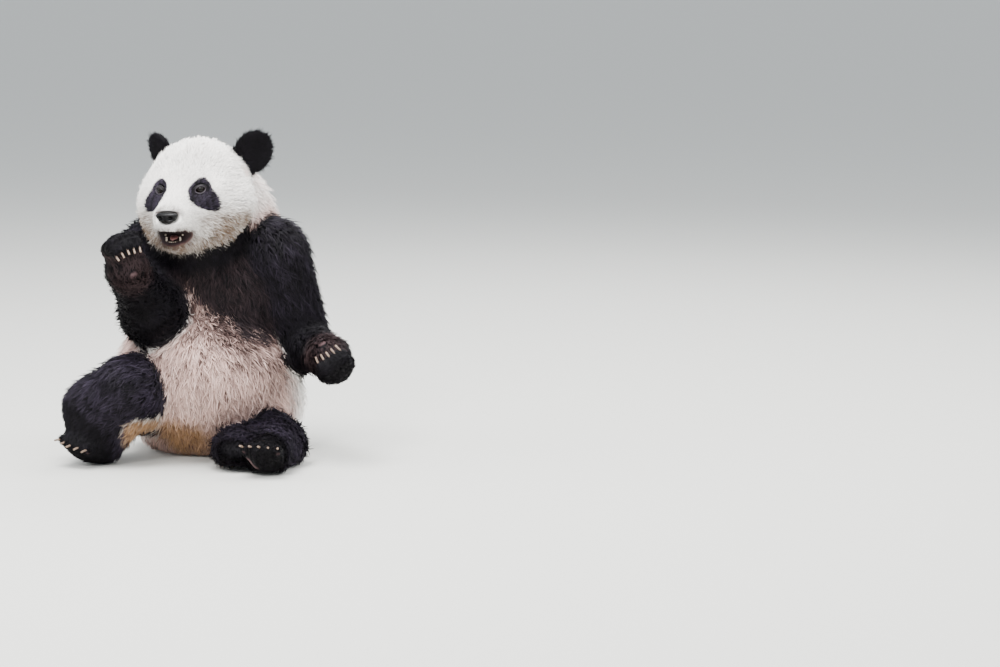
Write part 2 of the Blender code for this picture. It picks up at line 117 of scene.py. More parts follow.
def new_material(name, **settings):
    """A material and its Principled shader. Each setting is the value of one of its sockets."""
    material = bpy.data.materials.new(name)
    material.use_nodes = True
    shader = material.node_tree.nodes["Principled BSDF"]
    for socket, value in settings.items():
        shader.inputs[socket.replace("_", " ")].default_value = value
    return material, shader


def add_node(owner, kind, links=None, **settings):
    """Adds a node to a material, or to a tree of its own.

    Capitalised settings are input values and the others are the node's own.
    """
    tree = getattr(owner, "node_tree", owner)
    made = tree.nodes.new(kind)
    for name, value in settings.items():
        if name[0].isupper():
            made.inputs[name.replace("_", " ")].default_value = value
        else:
            setattr(made, name, value)
    for name, source in (links or {}).items():
        tree.links.new(source, made.inputs[name])
    return made


def join_nodes(material, source, target):
    material.node_tree.links.new(source, target)


def attribute(material, name):
    """A value that the mesh holds at each point."""
    return add_node(material, "ShaderNodeAttribute", attribute_name=name).outputs["Fac"]


def object_noise(material, scale, detail):
    """Noise that is fixed to the object."""
    place = add_node(material, "ShaderNodeTexCoord").outputs["Object"]
    return add_node(
        material, "ShaderNodeTexNoise", {"Vector": place}, Scale=scale, Detail=detail
    ).outputs["Fac"]


def colour_ramp(material, factor, *stops):
    """A colour that runs through the stops, each a place and a colour, as the factor rises."""
    made = add_node(material, "ShaderNodeValToRGB", {"Fac": factor})
    elements = made.color_ramp.elements
    elements.remove(elements[1])
    elements[0].position = stops[0][0]
    elements[0].color = linear(stops[0][1])
    for place, colour in stops[1:]:
        elements.new(place).color = linear(colour)
    return made.outputs["Color"]


def blend(material, below, above, factor):
    """Lays one colour over another. Each is a hex colour or the output of a node."""
    mix = add_node(material, "ShaderNodeMix", {"Factor": factor}, data_type="RGBA")
    for colour, socket in ((below, mix.inputs[6]), (above, mix.inputs[7])):
        if isinstance(colour, str):
            socket.default_value = linear(colour)
        else:
            join_nodes(material, colour, socket)
    return mix.outputs[2]


def add_bump(material, shader, height, strength, distance):
    bump = add_node(
        material, "ShaderNodeBump", {"Height": height}, Strength=strength, Distance=distance
    )
    join_nodes(material, bump.outputs[0], shader.inputs["Normal"])


# %% Floor and lamps
floor_material, _ = new_material(       # a plain pale ground that takes a soft shadow
    "matt_studio_floor", Base_Color=linear("#c9c8c2"), Roughness=0.9
)
floor_mesh = bpy.data.meshes.new("studio_floor")
floor_drawing = bmesh.new()
bmesh.ops.create_circle(floor_drawing, cap_ends=True, segments=64, radius=120)
floor_drawing.to_mesh(floor_mesh)
floor_drawing.free()
floor_mesh.materials.append(floor_material)
studio_floor = new_object("studio_floor", floor_mesh)

LAMPS = (
    # name, azimuth, elevation (degrees), distance (m), size (m), power (W)
    ("sky_lamp", -10, 74, 4.5, 3.0, 590),
    ("front_lamp", 42, 26, 5.5, 2.5, 150),
    ("side_lamp", -65, 30, 5.0, 3.0, 130),
    ("back_lamp", 170, 45, 5.0, 3.0, 200),
    ("rim_lamp", 105, 40, 5.0, 2.5, 190),
    ("catch_lamp", -4, 34, 5.0, 0.9, 140),      # small, for the glint in each eye
)
LAMPS_AIM = Vector((0, 0, 0.4))
for name, azimuth, elevation, distance, size, power in LAMPS:
    lamp = bpy.data.lights.new(name, "AREA")
    lamp.size = size
    lamp.energy = power
    away = direction_to(math.radians(azimuth), math.radians(elevation))
    set_up(name, lamp, LAMPS_AIM + distance * away, away)

sky = bpy.data.worlds.new("pale_sky")
bpy.context.scene.world = sky
sky.use_nodes = True
sky_light = sky.node_tree.nodes["Background"].inputs
sky_light["Color"].default_value = linear("#dfe6ee")
sky_light["Strength"].default_value = 1.3

# %% [markdown]
# ## Measures read from the frame
#
# Everything on the face is placed from what the frame holds: the eyes, the nose and the ears. The
# line between the ears gives the head an axis to its left, and from that one forwards and one
# upwards. So the face stays in place if the solids change a little.

# %% Face axes
SIDES = {"left": 1, "right": -1}


def middle(node):
    low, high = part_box(node)
    return (low + high) / 2


eye_middle = (middle("eye_left") + middle("eye_right")) / 2
eye_radius = (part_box("eye_left")[1].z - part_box("eye_left")[0].z) / 2
nose_middle = middle("nose")
face_left = (middle("ear_left") - middle("ear_right")).normalized()
face_forward = Vector((0, 0, 1)).cross(face_left).normalized() * -1
face_up = face_left.cross(face_forward).normalized() * -1
HEAD_MIDDLE_BACK, HEAD_MIDDLE_DOWN = 0.108, 0.034     # from between the eyes
head_middle = eye_middle - HEAD_MIDDLE_BACK * face_forward - HEAD_MIDDLE_DOWN * face_up


def on_face(point, origin=eye_middle):
    """Left, forward and up coordinates on the head, of points in the frame."""
    away = np.asarray(point, float) - np.array(origin)
    return away @ np.array([face_left, face_forward, face_up]).T


print("face axes:", [tuple(round(v, 3) for v in axis) for axis in (face_left, face_forward, face_up)])

# %% [markdown]
# ## The skin
#
# A real skin is one sheet from nose to tail. It could be sculpted as one, but it would then miss the
# frame by a little everywhere, so here the flesh solids are melted into one mesh. Their claws and
# canine teeth are cut off first, since those are hard pieces made on their own, and where the tips
# were is kept. Each solid is swollen by a millimetre to close the thin cuts between neighbours, and
# a voxel remesh unites them. Every point then moves inwards by the depth of the coat at that place:
# a few millimetres on the muzzle and feet, and a little over two centimetres on the trunk.

# %% Which coat grows where
FLESH = [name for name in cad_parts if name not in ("eye_left", "eye_right", "nose", "tongue")]
COAT = {
    # region: (depth of the coat, length of a tuft, width of a tuft), metres
    "head": (0.014, 0.022, 0.0021),
    "lower_jaw": (0.009, 0.024, 0.0021),
    "neck": (0.022, 0.040, 0.0030),
    "chest": (0.023, 0.044, 0.0030),
    "abdomen": (0.025, 0.046, 0.0031),
    "tail": (0.016, 0.036, 0.0030),
    "ear": (0.010, 0.022, 0.0015),
    "upper_arm": (0.023, 0.044, 0.0031),
    "forearm": (0.019, 0.038, 0.0030),
    "forepaw": (0.006, 0.017, 0.0021),
    "thigh": (0.023, 0.044, 0.0031),
    "shank": (0.019, 0.038, 0.0030),
    "hind_paw": (0.006, 0.017, 0.0021),
}


def region_of(node):
    return node.removesuffix("_left").removesuffix("_right")


# %% Find the points of claws and canine teeth
BLUNT_END = 0.002       # a claw's or tooth's blunt end is narrower than this
SHORTEST_SPIKE = 0.007
EDGES_AGREE = 0.93      # length of the mean direction of the edges at a tip, 1 if all run one way
CLAW_REACH = 0.024      # from a claw's tip back to where it leaves the bone


def merged_copy(node):
    """A drawing of a node's mesh with its loose triangles joined up."""
    drawing = bmesh.new()
    drawing.from_mesh(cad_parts[node].data)
    bmesh.ops.remove_doubles(drawing, verts=drawing.verts, dist=1e-5)
    drawing.normal_update()
    return drawing


def spikes_of(drawing):
    """Tip and unit direction of each thin spike in a drawing: all edges at its tip run one way."""
    blunted = drawing.copy()
    bmesh.ops.remove_doubles(blunted, verts=blunted.verts, dist=BLUNT_END)
    spikes = []
    for vert in blunted.verts:
        reach = [edge.other_vert(vert).co - vert.co for edge in vert.link_edges]
        back = sum((way.normalized() for way in reach), Vector()) / max(len(reach), 1)
        if back.length > EDGES_AGREE and max(way.length for way in reach) > SHORTEST_SPIKE:
            spikes.append((vert.co.copy(), -back.normalized()))
    blunted.free()
    return spikes


def without_spikes(drawing, spikes, length, radius):
    """Cuts spikes off at the flesh and closes the holes."""
    cut = []
    for vert in drawing.verts:
        for tip, ahead in spikes:
            back = (tip - vert.co).dot(ahead)
            aside = (vert.co - tip + back * ahead).length
            if -0.002 < back < length and aside < radius:
                cut.append(vert)
                break
    bmesh.ops.delete(drawing, geom=cut, context="VERTS")
    bmesh.ops.holes_fill(drawing, edges=[edge for edge in drawing.edges if edge.is_boundary])
    bmesh.ops.triangulate(drawing, faces=[face for face in drawing.faces if len(face.verts) > 3])


# %% Melt the flesh solids into one mesh
SWELL = 0.001           # closes the cuts between the solids
SKIN_VOXEL = 0.0054     # keeps the skin under 200,000 triangles
SPIKES = {
    # solid: (longest, thickest) reach of its spikes
    **{name: (0.018, 0.0052) for name in FLESH if name.startswith(("forepaw", "hind_paw"))},
    "head": (0.012, 0.0042),
    "lower_jaw": (0.012, 0.0042),
}


def evaluated_mesh(obj):
    """The object's mesh with its modifiers applied. The object itself is removed."""
    bpy.context.view_layer.update()
    graph = bpy.context.evaluated_depsgraph_get()
    mesh = bpy.data.meshes.new_from_object(obj.evaluated_get(graph))
    bpy.data.objects.remove(obj)
    return mesh


melted = bmesh.new()
cad_points, cad_faces, cad_owner, spikes = [], [], [], {}
for node in FLESH:
    piece = merged_copy(node)
    if node in SPIKES:
        spikes[node] = spikes_of(piece)
        without_spikes(piece, spikes[node], *SPIKES[node])
        piece.verts.index_update()
        piece.normal_update()
    first = len(cad_points)
    cad_points += [v.co.copy() for v in piece.verts]
    cad_faces += [[first + v.index for v in face.verts] for face in piece.faces]
    cad_owner += [node] * len(piece.faces)
    for vert in piece.verts:
        vert.co += SWELL * vert.normal
    swollen = bpy.data.meshes.new(node)
    piece.to_mesh(swollen)
    piece.free()
    melted.from_mesh(swollen)
    bpy.data.meshes.remove(swollen)
melted_mesh = bpy.data.meshes.new("skin")
melted.to_mesh(melted_mesh)
melted.free()
melting = new_object("skin", melted_mesh)
union = melting.modifiers.new("union", "REMESH")
union.mode = "VOXEL"
union.voxel_size = SKIN_VOXEL
skin_mesh = evaluated_mesh(melting)
cad_tree = BVHTree.FromPolygons(cad_points, cad_faces)
print("melted skin:", len(skin_mesh.vertices), "points")
print("claws and canines:", {name: len(found) for name, found in spikes.items()})


# %% Tools for fields on the skin
def points_of(mesh):
    points = np.empty(len(mesh.vertices) * 3, np.float32)
    mesh.vertices.foreach_get("co", points)
    return points.reshape(-1, 3).astype(float)


def set_points(mesh, points):
    mesh.vertices.foreach_set("co", points.astype(np.float32).ravel())
    mesh.update()


def normals_of(mesh):
    normals = np.empty(len(mesh.vertices) * 3, np.float32)
    mesh.vertex_normals.foreach_get("vector", normals)
    return normals.reshape(-1, 3).astype(float)


def edges_of(mesh):
    edges = np.empty(len(mesh.edges) * 2, np.int32)
    mesh.edges.foreach_get("vertices", edges)
    return edges.reshape(-1, 2)


def spread(values, edges, rounds, share=0.5):
    """Evens out a value or vector held at each point by averaging it with its neighbours."""
    values = np.asarray(values, float)
    columns = values.reshape(len(values), -1)
    count = np.bincount(edges.ravel(), minlength=len(values))[:, None]
    for _ in range(rounds):
        total = np.empty_like(columns)
        for k in range(columns.shape[1]):
            column = columns[:, k]
            total[:, k] = (
                np.bincount(edges[:, 0], column[edges[:, 1]], len(values))
                + np.bincount(edges[:, 1], column[edges[:, 0]], len(values))
            )
        columns = (1 - share) * columns + share * total / np.maximum(count, 1)
    return columns.reshape(values.shape)


def smooth_step(values, low, high):
    """0 below low, 1 above high, and an even rise between."""
    share = np.clip((values - low) / (high - low), 0, 1)
    return share * share * (3 - 2 * share)


def waves(points, size, seed=0):
    """Soft random values from -1 to 1 that vary over about one size, in metres."""
    shift = Vector((seed * 17.3, seed * 5.1, seed * 9.7))
    return np.array([noise.noise(Vector(p) / size + shift) for p in points])


def unit(vectors):
    return vectors / np.maximum(np.linalg.norm(vectors, axis=1, keepdims=True), 1e-9)


def hold_values(mesh, name, values):
    """Keeps a value at each point of a mesh, for its material to read."""
    held = mesh.attributes.new(name, "FLOAT", "POINT")
    held.data.foreach_set("value", np.ravel(values).astype(np.float32))


# %% Smooth the seams and find the coat's depth
points = points_of(skin_mesh)
edges = edges_of(skin_mesh)
points = spread(points, edges, 5)
set_points(skin_mesh, points)
normals = normals_of(skin_mesh)

nearest = [cad_tree.find_nearest(Vector(p)) for p in points]
owner = np.array([cad_owner[hit[2]] for hit in nearest])
region = np.array([region_of(name) for name in owner])
facing = np.array([hit[1] for hit in nearest])


def by_region(column):
    """The table's value at each point of the skin, evened out between regions."""
    return spread([COAT[name][column] for name in region], edges, 70)


def away_from(place):
    return np.linalg.norm(points - np.array(place), axis=1)


def close_to(place, near, far):
    """1 nearer than one distance and 0 farther than another."""
    return 1 - smooth_step(away_from(place), near, far)


MOUTH_HALF_WIDTH, MOUTH_BACK = 0.058, 0.012     # the second is measured forward from the eyes
face_side, face_ahead, face_height = on_face(points).T
cut_up = facing @ np.array(face_up)
roof_of_mouth = (region == "head") & (cut_up < -0.85) & (face_ahead > MOUTH_BACK)
floor_of_mouth = (region == "lower_jaw") & (cut_up > 0.80)
in_mouth = (roof_of_mouth | floor_of_mouth) & (np.abs(face_side) < MOUTH_HALF_WIDTH)
mouth_share = spread(in_mouth.astype(float), edges, 2)
head_share = spread(np.isin(region, ["head", "lower_jaw"]).astype(float), edges, 8)

MUZZLE_COAT = 0.0035        # depth of the coat round the nose and eyes
short_haired = close_to(nose_middle, 0.040, 0.130)
for side in SIDES:
    short_haired = np.maximum(short_haired, close_to(middle(f"eye_{side}"), 0.030, 0.085))
short_haired *= head_share
depth = by_region(0) * (1 - short_haired) + MUZZLE_COAT * short_haired
depth *= 1 - 0.8 * mouth_share

# %% Sink the skin under the coat
SEARCH_REACH = 0.08         # flesh thicker than this keeps its full coat
COAT_SHARE = 0.30           # the coat takes at most this share of thin flesh, such as an ear's
SKIN_ABOVE_FLOOR = 0.004
melted_tree = BVHTree.FromPolygons(points.tolist(), [list(face.vertices) for face in skin_mesh.polygons])
thickness = np.full(len(points), 0.2)
for i, (point, normal) in enumerate(zip(points, normals)):
    start = Vector(point) - 0.001 * Vector(normal)
    through = melted_tree.ray_cast(start, -Vector(normal), SEARCH_REACH)
    if through[0] is not None:
        thickness[i] = through[3]
depth = spread(np.minimum(depth, COAT_SHARE * thickness), edges, 4)
surface = points.copy()     # where the tips of the coat are
points = points - depth[:, None] * spread(normals, edges, 6)
points = spread(points, edges, 4, 0.4)
points[:, 2] = np.maximum(points[:, 2], SKIN_ABOVE_FLOOR)

# %% [markdown]
# ## Paws
#
# Each paw has five digits that end in claws, with a groove between each two, and bare mauve pads on
# its underside: one on the wrist of a forepaw, one under the ball of a hind foot, and a small one
# under each digit. They could be pieces of their own, but real pads are part of the skin, so the
# skin's own points are moved. The claws' roots stand in a row across the paw and give its axes. A
# wave along the row, deepest half-way between two roots, presses the grooves in.

# %% Grooves between the digits, and bare pads
GROOVE_DEPTH, PAD_RISE = 0.0055, 0.0025
GROOVE_WIDTH = 0.15         # as a share of a digit's width
PAW_PADS = (
    # which paws, place (along the paw, out of its underside), half sizes (along, across), metres
    ("forepaw", (-0.030, 0.045), (0.009, 0.012)),       # on the wrist
    ("hind_paw", (0.010, 0.030), (0.013, 0.034)),       # under the ball of the foot
)
TOE_PAD_BEHIND, TOE_PAD_BELOW = 0.005, 0.009            # from where the claw leaves the bone


def paw_axes(node):
    """The claws' roots, and unit axes towards the digits, across them, and out of the underside."""
    before = node.replace("forepaw", "forearm").replace("hind_paw", "shank")
    roots = np.array([tip - CLAW_REACH * ahead for tip, ahead in spikes[node]])
    across = np.linalg.svd(roots - roots.mean(axis=0))[2][0]
    along = np.array(middle(node) - middle(before))
    along = along - (along @ across) * across
    along /= np.linalg.norm(along)
    under = np.cross(along, across)
    down = roots.mean(axis=0) - np.array(middle(node)) if "fore" in node else np.array([0, 0, -1.0])
    return roots, along, across, under * np.sign(under @ down)


groove, pad, palm = np.zeros((3, len(points)))
for node in [name for name in spikes if "paw" in name]:
    roots, along, across, under = paw_axes(node)
    away = points - roots.mean(axis=0)
    reach = np.ptp(roots @ across) / (len(roots) - 1)
    digit = away @ across / reach
    between = np.exp(-((0.5 - np.abs(digit - np.round(digit))) / GROOVE_WIDTH) ** 2) * (np.abs(digit) < 2.2)
    beside = np.linalg.norm(away - np.outer(away @ across, across), axis=1)
    groove = np.maximum(groove, between * (1 - smooth_step(beside, 0.035, 0.060)) * (owner == node))
    for kind, (place_along, place_under), (half_along, half_across) in PAW_PADS:
        if kind != region_of(node):
            continue
        off = points - (np.array(middle(node)) + place_along * along + place_under * under)
        reach = np.hypot(off @ along / half_along, off @ across / half_across)
        reach[(off @ under < -0.030) | (region != kind) & (region != "forearm")] = 9
        pad = np.maximum(pad, 1 - smooth_step(reach, 0.8, 1.15))
    for tip, ahead in spikes[node]:         # one pad under each digit's last joint
        inside = np.array(middle(node) - tip) if "fore" in node else under
        below = unit([inside - (inside @ ahead) * np.array(ahead)])[0]
        place = np.array(tip - (CLAW_REACH + TOE_PAD_BEHIND) * ahead) + TOE_PAD_BELOW * below
        pad = np.maximum(pad, 0.8 * close_to(place, 0.003, 0.008))
    if "fore" in node:      # the underside of the wrist, where the hair is brown
        under_wrist = smooth_step(-away @ along, 0.0, 0.03) * smooth_step(normals @ under, -0.1, 0.4)
        palm = np.maximum(palm, under_wrist * close_to(middle(node) - Vector(0.03 * along), 0.06, 0.10))
points += (PAD_RISE * pad - GROOVE_DEPTH * spread(groove, edges, 1))[:, None] * normals
points[:, 2] = np.maximum(points[:, 2], SKIN_ABOVE_FLOOR)
set_points(skin_mesh, points)
print("points in a groove:", (groove > 0.5).sum(), "and on a pad:", (pad > 0.5).sum())
print("skin:", len(points), "points, depth", depth.min().round(4), "to", depth.max().round(4))

# %% [markdown]
# ## Markings
#
# A giant panda is cream white with black limbs, ears and eye patches, and a black band round its
# shoulders and chest. Markings could be painted by hand. Here each is a soft-edged function of the
# place on the body, so that the skin and the coat that grows out of it always agree. The borders
# are broken up by noise, as hairs of both colours mix there. This animal's belly is stained a pinkish
# beige, with dark brown streaks that thicken up to the black chest. The sides of the neck have the
# stain too, with a brown border where the band begins, and so does the hair in front of the ears.
# Cheeks and chin are khaki, the hair round the mouth is dusky, the lips are bare and brown, and the
# groin and the right leg's underside are a rusty tan.

# %% Marking functions
PATCH_ABOVE, PATCH_BELOW = 0.031, 0.058     # reach of the black patch above and below the eye
PATCH_HALF_WIDTH, PATCH_WIDENING = 0.0325, 0.0050
PATCH_OUTWARDS = 0.0038                     # the patch reaches farther outwards than towards the nose
PATCH_SLANT = 0.56                          # how far it swings outwards for each metre below the eye
COLLAR_PLACE, COLLAR_UP = (0, 0.02, 0.592), (0, -0.37, 0.93)
BAND_LOW_IN_FRONT, BAND_LOW_BEHIND, BAND_SLOPE = 0.460, 0.430, 0.72
GROIN = (-0.02, -0.16, 0.05)
UNDER_RIGHT_LEG = (-0.08, -0.20, 0.10)


def eye_patch(places):
    """1 in the slanting black patches round the eyes."""
    inside = np.zeros(len(places))
    for side, sign in SIDES.items():
        left, ahead, up = on_face(places, middle(f"eye_{side}")).T
        out = left * sign - PATCH_OUTWARDS - PATCH_SLANT * np.maximum(-up, 0)
        along = (-up - (PATCH_BELOW - PATCH_ABOVE) / 2) / ((PATCH_BELOW + PATCH_ABOVE) / 2)
        reach = np.hypot(along, out / (PATCH_HALF_WIDTH + PATCH_WIDENING * np.clip(along, -1, 1)))
        reach[np.abs(ahead) > 0.075] = 9
        inside = np.maximum(inside, 1 - smooth_step(reach, 0.90, 1.08))
    return inside


def plane_height(places, point, up):
    """Height above a slanting plane."""
    return (places - np.array(point)) @ np.array(Vector(up).normalized())


LIMBS = ["upper_arm", "forearm", "forepaw", "thigh", "shank", "hind_paw", "ear"]
ragged = 0.016 * waves(surface, 0.045, 1) + 0.008 * waves(surface, 0.014, 2)
x, y, z = surface.T
front = 1 - smooth_step(y, -0.02, 0.10)

# The band's upper border is a slanting plane round the neck, and the line of the chin in front.
collar = plane_height(surface, COLLAR_PLACE, COLLAR_UP) - 0.075 * smooth_step(-y, 0.0, 0.07)
collar -= 0.040 * smooth_step(np.abs(x), 0.05, 0.11) * (1 - smooth_step(y, 0.06, 0.12))
collar += 0.020 * smooth_step(x, 0.07, 0.13)
chin_line = face_height + 0.168 - 0.052 * np.minimum(np.abs(face_side) / 0.16, 1.2) ** 2
chin_line[face_ahead < -0.13] = 1
on_head = np.isin(region, ["head", "lower_jaw"])
collar = np.where(on_head, chin_line, np.minimum(collar, np.where(front > 0.5, chin_line, 1)))

# Its lower border falls towards the animal's left in front, and is level over the back.
slanting = BAND_LOW_IN_FRONT - BAND_SLOPE * np.clip(x, -0.05, 0.20)
waist = spread(z - np.where(y < 0.05, slanting, BAND_LOW_BEHIND), edges, 12)
band = (1 - smooth_step(collar + ragged, -0.018, 0.020)) * smooth_step(waist + 1.8 * ragged, -0.050, 0.045)
limbs = np.isin(region, LIMBS).astype(float)
black_without_patch = spread(np.maximum(limbs, band), edges, 3)
black = np.maximum(black_without_patch, eye_patch(surface) * (region == "head"))

# Stains of the belly, neck and ears' roots, streaks, and the khaki of the cheeks.
belly = front * smooth_step(0.26 + x, 0.02, 0.11) * smooth_step(0.35 - x, 0.02, 0.10)
belly[~np.isin(region, ["abdomen", "chest"])] = 0
cheek = np.maximum(
    smooth_step(-face_height, 0.030, 0.095) * smooth_step(np.abs(face_side), 0.035, 0.095),
    smooth_step(-face_height, 0.100, 0.130),
) * head_share * smooth_step(face_ahead, -0.17, -0.06)
stain = spread(belly, edges, 3)
khaki = spread(cheek, edges, 3) * (0.85 + 0.40 * waves(surface, 0.03, 5))
near_band = smooth_step(waist, -0.115, 0.0)
streak = stain * np.clip(0.11 + 0.24 * waves(surface, 0.05, 4) + 0.80 * near_band, 0, 1) + 0.32 * khaki
blush = smooth_step(np.abs(x), 0.04, 0.10) * (region == "neck") * (1 - 0.7 * smooth_step(collar, 0.02, 0.09))
stain = np.maximum(stain, 0.9 * spread(blush, edges, 6))
for side in SIDES:          # the hair in front of the ear's root
    ear_root = middle(f"ear_{side}") - 0.045 * face_up + 0.045 * face_forward
    stain = np.maximum(stain, 0.8 * close_to(ear_root, 0.008, 0.042) * head_share)
near_collar = 1 - smooth_step(np.abs(collar), 0.020, 0.050)
brown_border = (region == "neck") * smooth_step(np.abs(x), 0.03, 0.08) * near_collar
streak = np.maximum(streak, 0.9 * spread(brown_border, edges, 4))

# The lips, and the dusky hair round them.
lip_edge = np.maximum(smooth_step(np.abs(face_side), 0.015, 0.04), region == "lower_jaw")
lips = np.clip(3.5 * spread(in_mouth.astype(float), edges, 8), 0, 1) * lip_edge
near_lips = np.clip(7 * spread(in_mouth.astype(float), edges, 22), 0, 1)
streak = np.maximum(streak, near_lips * (0.38 + 0.2 * waves(surface, 0.02, 12)))
streaky = np.maximum.reduce([stain * (1 - 0.6 * head_share), 0.6 * near_lips, 0.35 * khaki])

# The rusty tan of the groin and of the right leg's underside.
groin = front * close_to(GROIN, 0.07, 0.13) * np.isin(region, ["abdomen", "tail"])
under_leg = np.isin(owner, ["thigh_right", "shank_right"]) * close_to(UNDER_RIGHT_LEG, 0.06, 0.11)
under_leg *= smooth_step(0.145 - z, 0.0, 0.03) * smooth_step(-normals[:, 2], 0.30, 0.60)
under_leg = 0.75 * spread(under_leg, edges, 4)
black = black * (1 - under_leg)
tan = np.maximum(spread(groin, edges, 3), np.minimum(1.4 * under_leg, 1))

# Black hair with a painted bluish sheen, most on the legs and eye patches, or brown, on the chest and
# wrists.
gleam = np.select([np.isin(region, ["thigh", "shank"]), region == "upper_arm"], [0.50, 0.20], 0.06)
gleam = spread(gleam * (0.7 + 0.8 * waves(surface, 0.05, 11)), edges, 4)
gleam = np.maximum(gleam, 0.4 * eye_patch(surface))
brown = spread(np.maximum(0.34 * front * np.isin(region, ["chest", "abdomen"]), palm), edges, 5)
print("black share of the skin:", black.mean().round(3))

# %% [markdown]
# ## The lie of the coat
#
# Hair grows away from the nose, over the crown and cheeks, down the neck, back and belly, and along
# each limb to the toes. It could be combed by hand, but it follows simple rules: away from a place,
# down, or along the limb. So each region's rule sets one direction at each point of its skin. The
# directions are evened out, so that they turn gently from one part to the next, and laid flat.

# %% Flow directions
flow = np.zeros_like(points)
down = np.array([0, 0, -1.0])
from_nose = unit(points - np.array(nose_middle + 0.03 * face_forward))
for name in set(region):
    here = region == name
    if name in ("head", "lower_jaw"):
        flow[here] = from_nose[here] + 0.35 * down * smooth_step(-face_height[here], 0.0, 0.12)[:, None]
    elif name == "neck":
        flow[here] = unit(points[here] - np.array(head_middle)) + 0.8 * down
    elif name in ("chest", "abdomen"):
        outwards = np.column_stack([points[here, 0], 0 * points[here, 0], 0 * points[here, 0]])
        flow[here] = down + 1.2 * outwards
    elif name == "tail":
        flow[here] = np.array([0, 1.0, -0.35])
for side in SIDES:
    for chain in (("upper_arm", "forearm", "forepaw"), ("thigh", "shank", "hind_paw")):
        first, second, third = [middle(f"{name}_{side}") for name in chain]
        ways = (second - first, third - first, third - second)
        for name, way in zip(chain, ways):
            flow[owner == f"{name}_{side}"] = np.array(way.normalized())
    here = owner == f"ear_{side}"
    root = np.array(middle(f"ear_{side}") * 0.75 + head_middle * 0.25)
    flow[here] = unit(points[here] - root)

for node, found in spikes.items():          # over the ends of the digits it runs onto the claws
    for tip, ahead in found if "paw" in node else []:
        share = close_to(tip - CLAW_REACH * ahead, 0.010, 0.026)[:, None] * (owner == node)[:, None]
        flow = (1 - share) * unit(flow) + share * np.array(ahead)


def pressed(flow, normals):
    """The flow laid flat on the skin."""
    return unit(flow - (flow * normals).sum(axis=1)[:, None] * normals)


normals = normals_of(skin_mesh)
for _ in range(3):
    flow = pressed(spread(unit(flow), edges, 6), normals)
print("flow set on", len(flow), "points")

# %% [markdown]
# ## Growing the coat
#
# A real coat is millions of hairs. Hair curves could stand for them, but they are lost when a model
# is handed on as solid mesh, so this coat is made of tufts. A tuft is a thin bundle of hairs: a
# closed, three-sided spike that rises out of the skin, bends over and runs out to a point. There are
# about 150,000 of them, written with arrays, many thousands at once. Roots are spread by walking
# over the skin's faces in order and dropping one each time a set amount of area has passed, which
# keeps them even. The tips of neighbours lean together into locks, and one tuft in ten stands out
# and softens the outline. Each tuft also holds a small patch of an unwrap of the skin, at its root.

# %% Skin triangles
normals = normals_of(skin_mesh)
skin_mesh.calc_loop_triangles()
triangles = np.empty(len(skin_mesh.loop_triangles) * 3, np.int32)
skin_mesh.loop_triangles.foreach_get("vertices", triangles)
triangles = triangles.reshape(-1, 3)
corners = points[triangles]
areas = np.linalg.norm(np.cross(corners[:, 1] - corners[:, 0], corners[:, 2] - corners[:, 0]), axis=1) / 2
skin_tree = BVHTree.FromPolygons(points.tolist(), triangles.tolist())
print("skin area:", areas.sum().round(3), "square metres,", len(triangles), "triangles")

# %% Which triangles each piece of coat covers
LID_WIDE, LID_HIGH = 0.0185, 0.0135     # half sizes of the bare lids


def on_lids(places, share=0.92):
    """True over a share of the reach of the bare lids of either eye."""
    covered = np.zeros(len(places), bool)
    for side in SIDES:
        left, ahead, up = on_face(places, middle(f"eye_{side}")).T
        reach = np.hypot(left / LID_WIDE, up / LID_HIGH)
        covered |= (reach < share) & (np.abs(ahead) < 0.03)
    return covered


owner_here, region_here = owner[triangles[:, 0]], region[triangles[:, 0]]
behind = corners[:, :, 1].mean(axis=1) > 0.06
bare = (mouth_share > 0.3) | (pad > 0.5) | (lips > 0.80) | on_lids(points)
nose_reach = (surface - np.array(nose_middle)) / np.array(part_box("nose")[1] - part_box("nose")[0])
bare |= np.linalg.norm(nose_reach * 2, axis=1) < 1.02           # under the nose pad
bare |= (surface[:, 2] < 0.003) & (normals[:, 2] < -0.8)        # on the flats that it rests on
hairy = ~bare[triangles].any(axis=1)
face_side_of_head = face_ahead[triangles[:, 0]] > -0.075


def on_side(side, *names):
    return np.isin(owner_here, [f"{name}_{side}" for name in names])


PIECES = {
    # piece of coat: (which triangles, number of tufts)
    "coat_face": (np.isin(region_here, ["head", "lower_jaw"]) & face_side_of_head, 19500),
    "coat_crown": (np.isin(region_here, ["head", "lower_jaw"]) & ~face_side_of_head, 17000),
    "coat_ears": (region_here == "ear", 8000),
    "coat_neck_and_chest": (np.isin(region_here, ["neck", "chest"]), 19500),
    "coat_belly": ((region_here == "abdomen") & ~behind, 19500),
    "coat_back": ((region_here == "abdomen") & behind | (region_here == "tail"), 14000),
    "coat_arm_left": (on_side("left", "upper_arm", "forearm"), 9500),
    "coat_arm_right": (on_side("right", "upper_arm", "forearm"), 9500),
    "coat_leg_left": (on_side("left", "thigh", "shank"), 9500),
    "coat_leg_right": (on_side("right", "thigh", "shank"), 9500),
    "coat_paws": (np.isin(region_here, ["forepaw", "hind_paw"]), 12500),
}


# %% Roots spread over the skin
def scattered_roots(faces, weights, count):
    """Which of the faces each root stands on, and its place in that face."""
    running = np.cumsum(areas[faces] * weights)
    ticks = (np.arange(count) + chance.random(count)) * running[-1] / count
    picked = np.minimum(np.searchsorted(running, ticks), len(faces) - 1)
    a, b = chance.random((2, count))
    folded = a + b > 1
    a, b = np.where(folded, 1 - a, a), np.where(folded, 1 - b, b)
    return picked, np.column_stack([1 - a - b, a, b])


def at_roots(values, faces, shares):
    """A value of the skin's points, read at each root."""
    here = values[triangles[faces]]
    if here.ndim == 2:
        return (here * shares).sum(axis=1)
    return (here * shares[:, :, None]).sum(axis=1)


